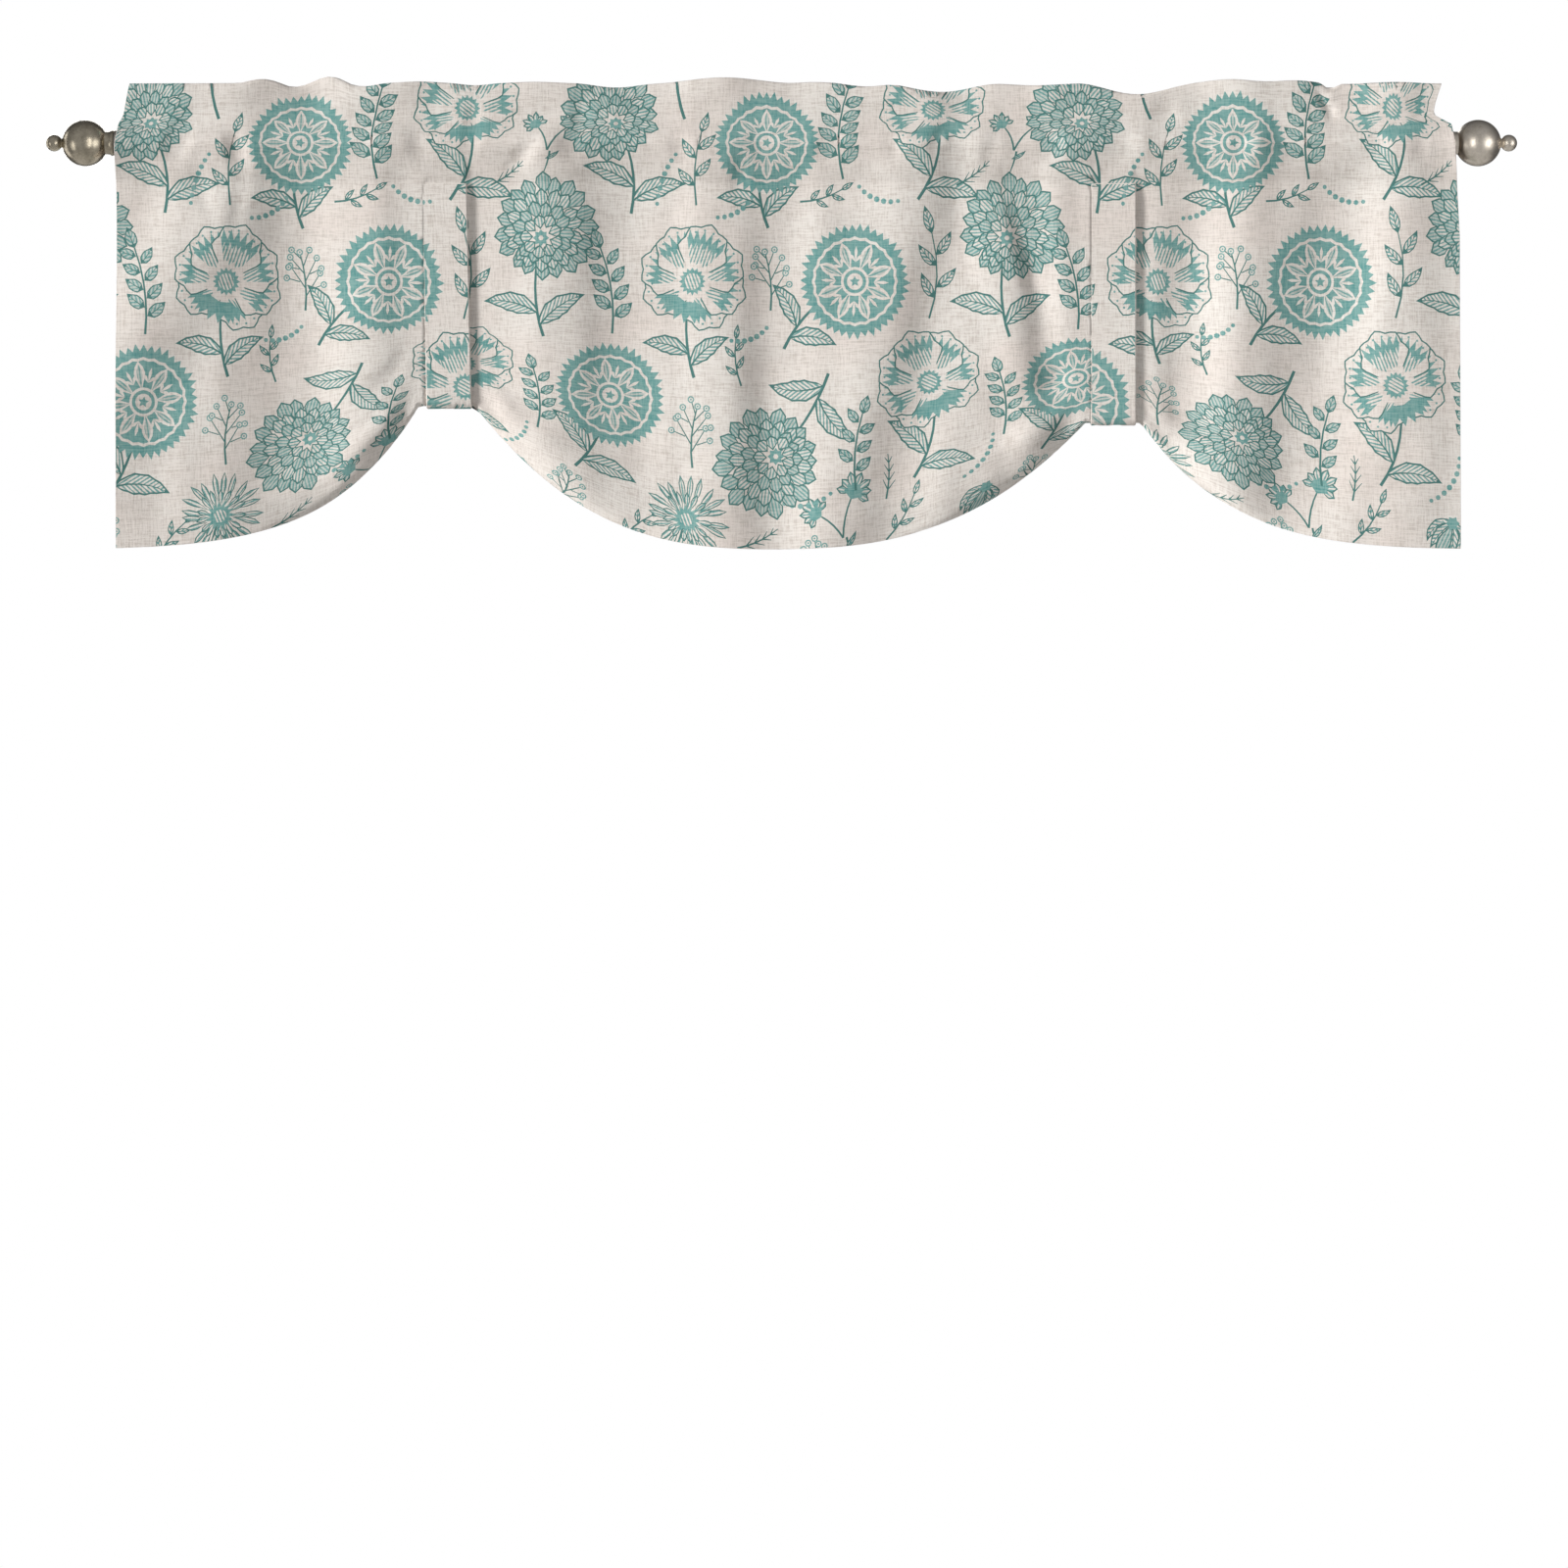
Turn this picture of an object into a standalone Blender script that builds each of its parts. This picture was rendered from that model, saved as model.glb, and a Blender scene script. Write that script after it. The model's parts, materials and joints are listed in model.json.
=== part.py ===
"""Window valance on a curtain rod.

One length of cloth has a standing header, a rod pocket and a skirt that two sewn ties lift into three
swags. It hangs on a plain 25 mm rod with a turned finial at each end.

Metres, +Z up. The origin lies on the rod's axis, halfway along the rod. +X runs along the rod, to the
right as the front is seen, and the front faces -Y.
"""
import math
from collections import namedtuple

import bmesh
import bpy
from mathutils import Vector
from mathutils.geometry import tessellate_polygon

# Thickness of the cloth, and the clearance between pieces that touch
CLOTH = 0.0016
TIE_CLOTH = 0.0022
GAP = 0.0005
FACE_GAP = 0.0003

# Rod and finials
ROD_RADIUS = 0.0125
ROD_HALF_LENGTH = 0.6482
ROD_SIDES = 24
COLLAR_RADIUS = 0.0124
BALL_RADIUS = 0.0225
BALL_CENTRE = 0.0286          # from the rod's end
KNOB_RADIUS = 0.0081
KNOB_CENTRE = 0.0586
FINIAL_SIDES = 24

# Heights of the cloth's main lines above the rod's axis
HEADER_TOP = 0.0579
HEADER_SEAM = 0.0265
POCKET_SEAM = -0.0400
HEM = -0.3948
SEAM_ALLOWANCE = 0.0080       # the turned-in cloth that ends below the pocket's lower seam

# The pocket's inner wall runs from seam to seam round a circle a little larger than the rod
POCKET_RADIUS = 0.0131
POCKET_TIP_TOP = 0.0248
POCKET_TIP_LOW = -0.0386
POCKET_ROWS = (0.0200, 0.0130, 0.0080, 0.0030, -0.0020, -0.0070, -0.0140, -0.0220, -0.0310, -0.0365)
PUFF_FRONT = 0.0012           # slack of the pocket's front layer where no fold lifts it
PUFF_BACK = 0.0010
PUFF_END = 0.0030             # the open ends of the pocket gape
END_REACH = 0.0300
ROD_HOLD = 0.0600             # above and below the rod by this much the folds are free of it

# The hem below a tie is lifted over this half width, and part of the lifted cloth turns under
TIE_HALF_WIDTH = 0.0220
PLATEAU = 0.0270
TURN_SHARE = 0.30
TURN_MAX = math.radians(176)
TURN_RADIUS_TIE = 0.0050
TURN_RADIUS_FREE = 0.0120
TURN_REACH = 0.0800
TURN_ROWS_LENGTH = 0.0200
BELLY = 0.0090                # how far the free hem of a swag stands forward
HANG = 0.0015                 # the skirt hangs this far in front of the rod's axis
FLAT_REACH = 0.0340           # beside a tie the folds come back over this width

Tie = namedtuple("Tie", "name x lean lift outer_reach outer_power inner_reach inner_power")
TIES = (
    Tie("tie_left", -0.3253, 0.0024, 0.1400, 0.548, 6.3, 0.2905, 2.65),
    Tie("tie_right", 0.3224, 0.0000, 0.1238, 0.452, 5.0, 0.3048, 2.60),
)

# The side edges of the cloth, from the top fold to the hem
Edge = namedtuple("Edge", "z left right")
EDGES = (
    Edge(0.0600, -0.6330, 0.6415),
    Edge(0.0380, -0.6372, 0.6345),
    Edge(0.0280, -0.6390, 0.6330),
    Edge(0.0180, -0.6435, 0.6500),
    Edge(-0.0060, -0.6463, 0.6529),
    Edge(-0.0420, -0.6460, 0.6560),
    Edge(-0.0900, -0.6455, 0.6586),
    Edge(-0.4000, -0.6455, 0.6586),
)
EDGE_REACH = 0.1200           # a side edge draws the cloth beside it along, out to this distance
LEFT, RIGHT = -0.6455, 0.6586

# The header's upper line rises and falls along the rod
Rise = namedtuple("Rise", "x rise half_width")
TOP_LINE = (
    Rise(-0.5044, 0.0043, 0.026),
    Rise(-0.4739, -0.0030, 0.018),
    Rise(-0.4396, 0.0070, 0.026),
    Rise(-0.4053, -0.0030, 0.024),
    Rise(-0.3501, 0.0018, 0.040),
    Rise(-0.2977, -0.0018, 0.026),
    Rise(-0.2405, 0.0014, 0.045),
    Rise(-0.1614, -0.0038, 0.042),
    Rise(-0.0548, 0.0055, 0.075),
    Rise(0.0310, 0.0015, 0.035),
    Rise(0.0833, -0.0030, 0.035),
    Rise(0.1538, -0.0082, 0.060),
    Rise(0.2500, -0.0018, 0.050),
    Rise(0.3453, -0.0105, 0.060),
    Rise(0.4358, 0.0040, 0.050),
    Rise(0.4977, 0.0030, 0.045),
    Rise(0.5329, -0.0050, 0.012),
    Rise(0.5977, 0.0012, 0.050),
)

# Upright folds: a positive depth stands forward. The line of a fold runs from x_top at the pocket's
# lower seam to x_hem at the hem, and its depth is given at four heights.
Fold = namedtuple("Fold", "x_top x_hem half_width header pocket upper hem")
FOLDS = (
    Fold(-0.5215, -0.5834, 0.060, 0.0030, 0.0030, 0.0075, 0.0060),
    Fold(-0.4691, -0.5101, 0.055, -0.0040, -0.0030, -0.0085, -0.0055),
    Fold(-0.3929, -0.3977, 0.070, 0.0020, 0.0030, 0.0040, 0.0060),
    Fold(-0.2329, -0.2262, 0.050, 0.0020, 0.0040, 0.0065, 0.0030),
    Fold(-0.1767, -0.1881, 0.042, -0.0030, -0.0030, -0.0065, -0.0035),
    Fold(-0.0595, -0.0529, 0.052, 0.0030, 0.0030, 0.0065, 0.0045),
    Fold(-0.0071, -0.0167, 0.045, -0.0020, -0.0020, -0.0060, -0.0035),
    Fold(0.1024, 0.0548, 0.050, 0.0020, 0.0040, 0.0065, 0.0055),
    Fold(0.1595, 0.1024, 0.046, -0.0040, -0.0030, -0.0070, -0.0055),
    Fold(0.1834, 0.2405, 0.034, 0.0015, 0.0035, 0.0050, 0.0030),
    Fold(0.2196, 0.2834, 0.032, -0.0015, -0.0020, -0.0045, -0.0020),
    Fold(0.2786, 0.2834, 0.036, 0.0020, 0.0030, 0.0035, 0.0020),
    Fold(0.3977, 0.3834, 0.042, -0.0030, -0.0020, -0.0060, -0.0030),
    Fold(0.4596, 0.4548, 0.048, 0.0025, 0.0040, 0.0070, 0.0055),
    Fold(0.5139, 0.4958, 0.048, -0.0045, -0.0030, -0.0085, -0.0055),
    Fold(0.5929, 0.5977, 0.060, 0.0025, 0.0025, 0.0045, 0.0035),
)

# Swag folds leave the foot of a tie and run down the cloth above the hem. side is -1 for the cloth to
# the left of the tie, height is above the hem at the tie, and the fold climbs away from the hem.
Swag = namedtuple("Swag", "tie side height climb half_height reach depth")
SWAGS = (
    Swag(0, -1, 0.026, 0.10, 0.022, 0.170, 0.0040),
    Swag(0, -1, 0.062, 0.22, 0.022, 0.120, -0.0030),
    Swag(0, 1, 0.030, 0.12, 0.022, 0.150, 0.0035),
    Swag(1, -1, 0.028, 0.16, 0.020, 0.170, 0.0045),
    Swag(1, -1, 0.060, 0.30, 0.020, 0.150, -0.0035),
    Swag(1, 1, 0.030, 0.14, 0.022, 0.130, 0.0035),
)

# Rows of the header's section: the share of its height, half its outer thickness, half the hollow
Row = namedtuple("Row", "share outer hollow")
HEADER_ROWS = (
    Row(0.28, 0.0026, 0.0010),
    Row(0.60, 0.0030, 0.0014),
    Row(0.86, 0.0027, 0.0011),
)
HEADER_HOLLOW_LOW = 0.12
HEADER_HOLLOW_TOP = 0.93

# How finely the panel is built
STATIONS = 38
TIE_STATIONS = (0.0270, 0.0330, 0.0440, 0.0600, 0.0820)
SKIRT_ROWS = 8
BEND_ROWS = 5
LEG_ROWS = 2


def bell(u):
    """A smooth hump, 1 at u = 0 and 0 from u = -1 and u = 1 on."""
    return math.cos(math.pi * u / 2) ** 2 if abs(u) < 1 else 0.0


def ease(u):
    """A smooth step from 0 at u = 0 to 1 at u = 1."""
    u = min(max(u, 0.0), 1.0)
    return u * u * (3 - 2 * u)


def mix(a, b, share):
    return a + (b - a) * share


def tie_near(x):
    """The nearest tie, and how far x lies outside the width over which that tie lifts the cloth."""
    tie = min(TIES, key=lambda t: abs(x - t.x))
    return tie, max(abs(x - tie.x) - PLATEAU, 0.0)


def lift(x):
    """How far the lower edge is raised above the free hem."""
    tie, away = tie_near(x)
    outer = (x - tie.x) * tie.x > 0
    reach = tie.outer_reach if outer else tie.inner_reach
    power = tie.outer_power if outer else tie.inner_power
    return tie.lift * max(0.0, 1 - away / reach) ** power


def top_line(x):
    return HEADER_TOP + sum(row.rise * bell((x - row.x) / row.half_width) for row in TOP_LINE)


def fold_depth(x, z):
    """How far the upright folds bring the cloth forward."""
    down = (POCKET_SEAM - z) / (POCKET_SEAM - HEM)
    middle = 0.45
    total = 0.0
    for fold in FOLDS:
        line = mix(fold.x_top, fold.x_hem, max(down, 0.0))
        if down < 0:
            up = ease((z - POCKET_SEAM) / (HEADER_TOP - POCKET_SEAM))
            depth = mix(0.5 * (fold.pocket + fold.upper), fold.header, up)
        elif down < middle:
            depth = mix(0.5 * (fold.pocket + fold.upper), fold.upper, ease(down / middle * 2))
        else:
            depth = mix(fold.upper, fold.hem, ease((down - middle) / (1 - middle)))
        total += depth * bell((x - line) / fold.half_width)
    return total


def swag_depth(x, z):
    """How far the folds that leave the ties bring the cloth forward."""
    height = z - (HEM + lift(x))
    total = 0.0
    for swag in SWAGS:
        away = (x - TIES[swag.tie].x) * swag.side - PLATEAU
        if 0 < away < swag.reach:
            line = swag.height + swag.climb * away
            along = away / swag.reach
            total += swag.depth * ease(along * 5) * (1 - along) ** 1.2 * bell((height - line) / swag.half_height)
    return total


def held_flat(x, z):
    """0 where a tie holds the cloth flat and 1 where it folds freely."""
    _, away = tie_near(x)
    below = ease((POCKET_SEAM + 0.025 - z) / 0.030)
    return 1 - below * (1 - ease(away / FLAT_REACH))


def centre_y(x, z):
    """Depth of the cloth's centre plane where it isn't in the pocket."""
    height = max(HEM + lift(x), z)
    share = ease((POCKET_SEAM - height) / (POCKET_SEAM - HEM))
    free = 1 - lift(x) / TIES[0].lift
    depth = (fold_depth(x, z) + swag_depth(x, z)) * held_flat(x, z)
    return -HANG - depth * ease(abs(z) / ROD_HOLD) - BELLY * free * share


def pocket_wall(z):
    """Half the pocket's inner depth at height z, from seam to seam round the rod."""
    def side(tip):
        touch = POCKET_RADIUS ** 2 / tip
        wide = math.sqrt(POCKET_RADIUS ** 2 - touch ** 2)
        return touch, wide
    high, wide_high = side(POCKET_TIP_TOP)
    low, wide_low = side(POCKET_TIP_LOW)
    if z > high:
        return wide_high * (POCKET_TIP_TOP - z) / (POCKET_TIP_TOP - high)
    if z < low:
        return wide_low * (z - POCKET_TIP_LOW) / (low - POCKET_TIP_LOW)
    return math.sqrt(POCKET_RADIUS ** 2 - z ** 2)


def pocket_shift(x, z):
    """The pocket is centred on the rod and follows the cloth's centre plane at its seams."""
    if z > 0:
        return centre_y(x, HEADER_SEAM) * ease((z - 0.010) / (HEADER_SEAM - 0.010))
    return centre_y(x, POCKET_SEAM) * ease((-z - 0.012) / (-POCKET_SEAM - 0.012))


def pocket_puff(x, z, front):
    """How far the slack of a pocket layer stands off the rod."""
    end = max(0.0, 1 - min(x - LEFT, RIGHT - x) / END_REACH) ** 2 * PUFF_END
    slack = PUFF_BACK
    if front:
        folds = sum(f.pocket * bell((x - f.x_top) / f.half_width) for f in FOLDS)
        slack = 0.5 * (folds + math.sqrt(folds ** 2 + PUFF_FRONT ** 2)) + PUFF_FRONT * 0.5
    upper = math.sin(math.pi * min(max((z - POCKET_TIP_LOW) / (POCKET_TIP_TOP - POCKET_TIP_LOW), 0.0), 1.0))
    return (slack + end) * max(upper, 0.0) ** 0.8


def across(x, z):
    """Where the cloth that hangs at x lies once its side edges are drawn in or out at height z."""
    for upper, lower in zip(EDGES, EDGES[1:]):
        if z >= lower.z:
            break
    share = ease((upper.z - z) / (upper.z - lower.z))
    left = mix(upper.left, lower.left, share) - LEFT
    right = mix(upper.right, lower.right, share) - RIGHT
    near_left = max(0.0, 1 - (x - LEFT) / EDGE_REACH) ** 2
    near_right = max(0.0, 1 - (RIGHT - x) / EDGE_REACH) ** 2
    return x + left * near_left + right * near_right


class Skirt:
    """The skirt's section at one x: down from the pocket's lower seam, and turned under by a tie."""

    def __init__(self, x):
        self.x = x
        _, away = tie_near(x)
        self.raised = lift(x)
        self.radius = mix(TURN_RADIUS_TIE, TURN_RADIUS_FREE, ease(away / TURN_REACH))
        self.turned = TURN_SHARE * self.raised
        self.angle = min(self.turned / self.radius, TURN_MAX)
        sag = self.radius * math.sin(min(self.angle, math.pi / 2))
        self.straight = POCKET_SEAM - (HEM + self.raised) - sag
        self.length = self.straight + self.turned

    def point(self, s):
        """Depth and height of the cloth's middle, s along the cloth from the seam."""
        bend = max(s - self.straight, 0.0)
        angle = min(bend / self.radius, self.angle)
        rest = bend - angle * self.radius
        back = self.radius * (1 - math.cos(angle)) + rest * math.sin(angle)
        z = POCKET_SEAM - min(s, self.straight) - self.radius * math.sin(angle) - rest * math.cos(angle)
        return centre_y(self.x, z) - CLOTH / 2 + back, z

    def rows(self):
        """Distances along the cloth at which the section has a point."""
        tail = max(self.turned, TURN_ROWS_LENGTH)
        bend = min(self.radius * TURN_MAX, 0.6 * tail)
        start = self.length - tail
        rows = [mix(SEAM_ALLOWANCE, start, i / SKIRT_ROWS) for i in range(SKIRT_ROWS + 1)]
        rows += [start + bend * i / BEND_ROWS for i in range(1, BEND_ROWS + 1)]
        rows += [mix(start + bend, self.length, i / LEG_ROWS) for i in range(1, LEG_ROWS + 1)]
        return rows

    def faces(self, s):
        """The front and back of the cloth at s, half its thickness to each side of its middle."""
        step = 0.0004
        y, z = self.point(s)
        y_after, z_after = self.point(min(s + step, self.length))
        y_before, z_before = self.point(s - step)
        run = Vector((y_after - y_before, z_after - z_before)).normalized()
        front = Vector((run.y, -run.x)) * CLOTH / 2
        return (y + front.x, z + front.y), (y - front.x, z - front.y)


def panel_section(x):
    """The closed outline of the cloth at x, and the outlines of its pocket and its header's hollow."""
    skirt = Skirt(x)
    rows = [skirt.faces(s) for s in skirt.rows()]
    front = [(centre_y(x, POCKET_SEAM) - CLOTH, POCKET_SEAM)] + [pair[0] for pair in rows]
    back = [pair[1] for pair in rows]
    outline = front[::-1]
    for z in POCKET_ROWS[::-1]:
        wall = pocket_wall(z) + CLOTH + pocket_puff(x, z, True)
        outline.append((pocket_shift(x, z) - wall, z))
    top = top_line(x)
    height = top - HEADER_SEAM
    outline.append((centre_y(x, HEADER_SEAM) - CLOTH, HEADER_SEAM))
    header = [(HEADER_SEAM + row.share * height, row.outer, row.hollow) for row in HEADER_ROWS]
    outline += [(centre_y(x, z) - outer, z) for z, outer, _ in header]
    outline.append((centre_y(x, top), top))
    outline += [(centre_y(x, z) + outer, z) for z, outer, _ in header[::-1]]
    outline.append((centre_y(x, HEADER_SEAM) + CLOTH, HEADER_SEAM))
    for z in POCKET_ROWS:
        wall = pocket_wall(z) + CLOTH + pocket_puff(x, z, False)
        outline.append((pocket_shift(x, z) + wall, z))
    outline.append((centre_y(x, POCKET_SEAM) + CLOTH, POCKET_SEAM))
    end = POCKET_SEAM - SEAM_ALLOWANCE + 0.0006
    outline.append((centre_y(x, end) + CLOTH, end))
    outline += back

    pocket = [(pocket_shift(x, POCKET_TIP_TOP), POCKET_TIP_TOP)]
    pocket += [(pocket_shift(x, z) - pocket_wall(z) - pocket_puff(x, z, True), z) for z in POCKET_ROWS]
    pocket.append((pocket_shift(x, POCKET_TIP_LOW), POCKET_TIP_LOW))
    pocket += [(pocket_shift(x, z) + pocket_wall(z) + pocket_puff(x, z, False), z)
               for z in POCKET_ROWS[::-1]]

    low = HEADER_SEAM + HEADER_HOLLOW_LOW * height
    high = HEADER_SEAM + HEADER_HOLLOW_TOP * height
    hollow = [(centre_y(x, high), high)]
    hollow += [(centre_y(x, z) - half, z) for z, _, half in header[::-1]]
    hollow.append((centre_y(x, low), low))
    hollow += [(centre_y(x, z) + half, z) for z, _, half in header]
    return [[Vector((across(x, z), y, z)) for y, z in loop] for loop in (outline, pocket, hollow)]


def panel_stations():
    """Places along the rod at which the panel has a section, closer together beside the ties."""
    places = [mix(LEFT, RIGHT, i / STATIONS) for i in range(STATIONS + 1)]
    for tie in TIES:
        places = [x for x in places if abs(x - tie.x) > TIE_STATIONS[-1] + 0.012]
        places += [tie.x + side * step for side in (-1, 1) for step in TIE_STATIONS]
    return sorted(places)


def material(name, colour, roughness, metallic=0.0):
    mat = bpy.data.materials.new(name)
    mat.use_nodes = True
    shader = mat.node_tree.nodes["Principled BSDF"]
    shader.inputs["Base Color"].default_value = (*colour, 1.0)
    shader.inputs["Roughness"].default_value = roughness
    shader.inputs["Metallic"].default_value = metallic
    return mat


def finish(bm, name, mat):
    """Turns a bmesh into a named object with its faces out and its rounds shaded smooth."""
    bmesh.ops.recalc_face_normals(bm, faces=bm.faces)
    mesh = bpy.data.meshes.new(name)
    bm.to_mesh(mesh)
    bm.free()
    mesh.materials.append(mat)
    mesh.shade_smooth()
    mesh.set_sharp_from_angle(angle=math.radians(50))
    part = bpy.data.objects.new(name, mesh)
    bpy.context.scene.collection.objects.link(part)
    return part


def skin_quad(bm, a, b, c, d):
    """Two triangles that meet on the shorter diagonal, so both sides of a thin cloth are cut alike."""
    if (a.co - c.co).length < (b.co - d.co).length:
        bm.faces.new((a, b, c))
        bm.faces.new((a, c, d))
    else:
        bm.faces.new((a, b, d))
        bm.faces.new((b, c, d))


def join_sections(bm, sections):
    """Skins closed loops from section to section, and closes both ends round their hollows."""
    rings = [[[bm.verts.new(p) for p in loop] for loop in section] for section in sections]
    for near, far in zip(rings, rings[1:]):
        for here, there in zip(near, far):
            for i in range(len(here)):
                j = (i + 1) % len(here)
                skin_quad(bm, here[i], here[j], there[j], there[i])
    for section, ring in ((sections[0], rings[0]), (sections[-1], rings[-1])):
        verts = [v for loop in ring for v in loop]
        for corners in tessellate_polygon(section):
            bm.faces.new([verts[i] for i in corners])


def make_panel(mat):
    bm = bmesh.new()
    join_sections(bm, [panel_section(x) for x in panel_stations()])
    return finish(bm, "panel", mat)


def tie_path(tie):
    """The middle line of a tie: down the front, round under the turned hem and up the back."""
    skirt = Skirt(tie.x)
    centre_z = POCKET_SEAM - skirt.straight
    front_y = centre_y(tie.x, centre_z) - CLOTH - GAP - TIE_CLOTH / 2
    back_y = front_y + 2 * skirt.radius + CLOTH + 2 * GAP + TIE_CLOTH
    radius = (back_y - front_y) / 2
    leg = skirt.turned - skirt.radius * skirt.angle
    lean = leg * math.sin(skirt.angle)
    leg_top = centre_z + leg + 0.004
    top = POCKET_SEAM - FACE_GAP
    path = []
    rows = 6
    for i in range(rows + 1):
        z = mix(top, centre_z, i / rows)
        path.append((centre_y(tie.x, z) - CLOTH - GAP - TIE_CLOTH / 2, z))
    turns = 8
    for i in range(1, turns + 1):
        angle = math.pi * i / turns
        path.append((front_y + radius - radius * math.cos(angle), centre_z - radius * math.sin(angle)))
    path.append((back_y + lean, centre_z + leg))
    path.append((back_y + lean, leg_top))
    seam_y = centre_y(tie.x, POCKET_SEAM - SEAM_ALLOWANCE) + CLOTH + GAP + TIE_CLOTH / 2
    for i in range(1, rows + 1):
        share = i / rows
        path.append((mix(back_y + lean, seam_y, ease(share)), mix(leg_top, top, share)))
    return path


def make_tie(tie, mat):
    """A flat strap swept along its path, with its slight lean."""
    bm = bmesh.new()
    path = [Vector(p) for p in tie_path(tie)]
    low = min(p.y for p in path)
    sections = []
    for i, p in enumerate(path):
        run = (path[min(i + 1, len(path) - 1)] - path[max(i - 1, 0)]).normalized()
        side = Vector((run.y, -run.x)) * TIE_CLOTH / 2
        x = tie.x + tie.lean * (2 * (p.y - POCKET_SEAM) / (low - POCKET_SEAM) - 1)
        corners = []
        for half in (-TIE_HALF_WIDTH, TIE_HALF_WIDTH):
            corners += [(x + half, p + side), (x + half, p - side)]
        corners = [corners[0], corners[1], corners[3], corners[2]]
        sections.append([[Vector((cx, q.x, q.y)) for cx, q in corners]])
    join_sections(bm, sections)
    return finish(bm, tie.name, mat)


def make_rod(mat):
    bm = bmesh.new()
    bmesh.ops.create_cone(bm, cap_ends=True, segments=ROD_SIDES, radius1=ROD_RADIUS, radius2=ROD_RADIUS,
                          depth=2 * ROD_HALF_LENGTH)
    turn = math.pi / ROD_SIDES        # a flat of the rod faces straight down
    for v in bm.verts:
        angle = math.atan2(v.co.y, v.co.x) + turn
        v.co = Vector((v.co.z, ROD_RADIUS * math.cos(angle), ROD_RADIUS * math.sin(angle)))
    return finish(bm, "rod", mat)


def finial_profile():
    """Distance from the rod's end and radius: collar, neck, ball, neck and knob."""
    neck = 0.0092
    waist = 0.0042
    profile = [(FACE_GAP, 0.0), (FACE_GAP, COLLAR_RADIUS), (0.0036, COLLAR_RADIUS), (0.0050, neck)]
    start = math.asin(neck / BALL_RADIUS)
    stop = math.pi - math.asin(waist / BALL_RADIUS)
    steps = 10
    for i in range(steps + 1):
        angle = mix(start, stop, i / steps)
        profile.append((BALL_CENTRE - BALL_RADIUS * math.cos(angle), BALL_RADIUS * math.sin(angle)))
    start = math.asin(waist / KNOB_RADIUS)
    steps = 6
    for i in range(steps + 1):
        angle = mix(start, math.pi, i / steps)
        radius = 0.0 if i == steps else KNOB_RADIUS * math.sin(angle)
        profile.append((KNOB_CENTRE - KNOB_RADIUS * math.cos(angle), radius))
    return profile


def make_finial(name, side, mat):
    """A turned finial. side is -1 at the rod's left end and 1 at its right end."""
    bm = bmesh.new()
    points = [bm.verts.new((side * (ROD_HALF_LENGTH + d), r, 0.0)) for d, r in finial_profile()]
    edges = [bm.edges.new(pair) for pair in zip(points, points[1:])]
    bmesh.ops.spin(bm, geom=points + edges, cent=(0, 0, 0), axis=(1, 0, 0), angle=math.tau,
                   steps=FINIAL_SIDES, use_merge=True)
    bmesh.ops.remove_doubles(bm, verts=bm.verts, dist=0.00002)
    return finish(bm, name, mat)


def main():
    for old in list(bpy.data.objects):
        bpy.data.objects.remove(old, do_unlink=True)
    cloth = material("printed linen-look cloth", (0.80, 0.75, 0.70), 0.9)
    strap = material("printed strap cloth", (0.78, 0.73, 0.68), 0.9)
    steel = material("brushed rod", (0.50, 0.47, 0.42), 0.35, 1.0)
    pewter = material("antique pewter", (0.42, 0.39, 0.34), 0.35, 1.0)
    make_panel(cloth)
    for tie in TIES:
        make_tie(tie, strap)
    make_rod(steel)
    make_finial("finial_left", -1, pewter)
    make_finial("finial_right", 1, pewter)


main()
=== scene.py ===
# %% [markdown]
# # A window valance on a curtain rod
#
# The object is a short curtain that hangs on a plain rod across the head of a window. One length of
# printed cloth makes a standing header, a pocket that the rod runs through, and a skirt. Two straps are
# sewn in under the pocket, pass round the hem and lift it, so the skirt falls in three swags.
#
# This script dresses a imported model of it. The model gives the size and place of each piece, and the
# script makes what the eye sees: cloth with its folds, its weave and its print, and turned metal.

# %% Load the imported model
import cmath
import json
import math
import random
from collections import namedtuple

import bmesh
import bpy
import numpy as np
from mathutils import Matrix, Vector
from mathutils.geometry import delaunay_2d_cdt

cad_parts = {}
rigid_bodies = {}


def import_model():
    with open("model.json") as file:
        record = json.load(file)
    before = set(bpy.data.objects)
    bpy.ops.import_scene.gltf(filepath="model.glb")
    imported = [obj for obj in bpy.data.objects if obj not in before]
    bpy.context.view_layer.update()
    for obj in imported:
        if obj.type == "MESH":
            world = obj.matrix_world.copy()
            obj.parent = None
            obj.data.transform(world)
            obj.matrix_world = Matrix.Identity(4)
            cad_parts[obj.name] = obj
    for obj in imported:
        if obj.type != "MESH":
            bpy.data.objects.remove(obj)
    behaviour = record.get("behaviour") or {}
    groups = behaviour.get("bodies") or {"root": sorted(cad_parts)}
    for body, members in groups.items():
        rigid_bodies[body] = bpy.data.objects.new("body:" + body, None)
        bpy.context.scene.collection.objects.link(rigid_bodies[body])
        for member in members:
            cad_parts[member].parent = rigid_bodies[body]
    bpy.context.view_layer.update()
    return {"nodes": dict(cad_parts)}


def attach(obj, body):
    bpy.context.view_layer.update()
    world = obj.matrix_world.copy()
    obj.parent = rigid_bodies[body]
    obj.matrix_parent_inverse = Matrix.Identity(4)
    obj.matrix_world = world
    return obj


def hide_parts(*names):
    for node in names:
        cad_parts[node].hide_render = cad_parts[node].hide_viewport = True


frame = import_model()
print("packed nodes:", ", ".join(sorted(frame["nodes"])))

# %% [markdown]
# ## Small functions that everything uses
#
# A fold in hanging cloth has no corners, so it is drawn with two smooth curves. bell is a hump that
# starts and ends flat, and ease is a step that starts and ends flat. Both work on whole arrays, because
# the cloth is worked out at some eight hundred thousand places at once. The other functions name a
# table's columns, measure or move a line, and add an object to the scene.

# %% Smooth curves, tables, lines and objects
MM = 0.001


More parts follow.
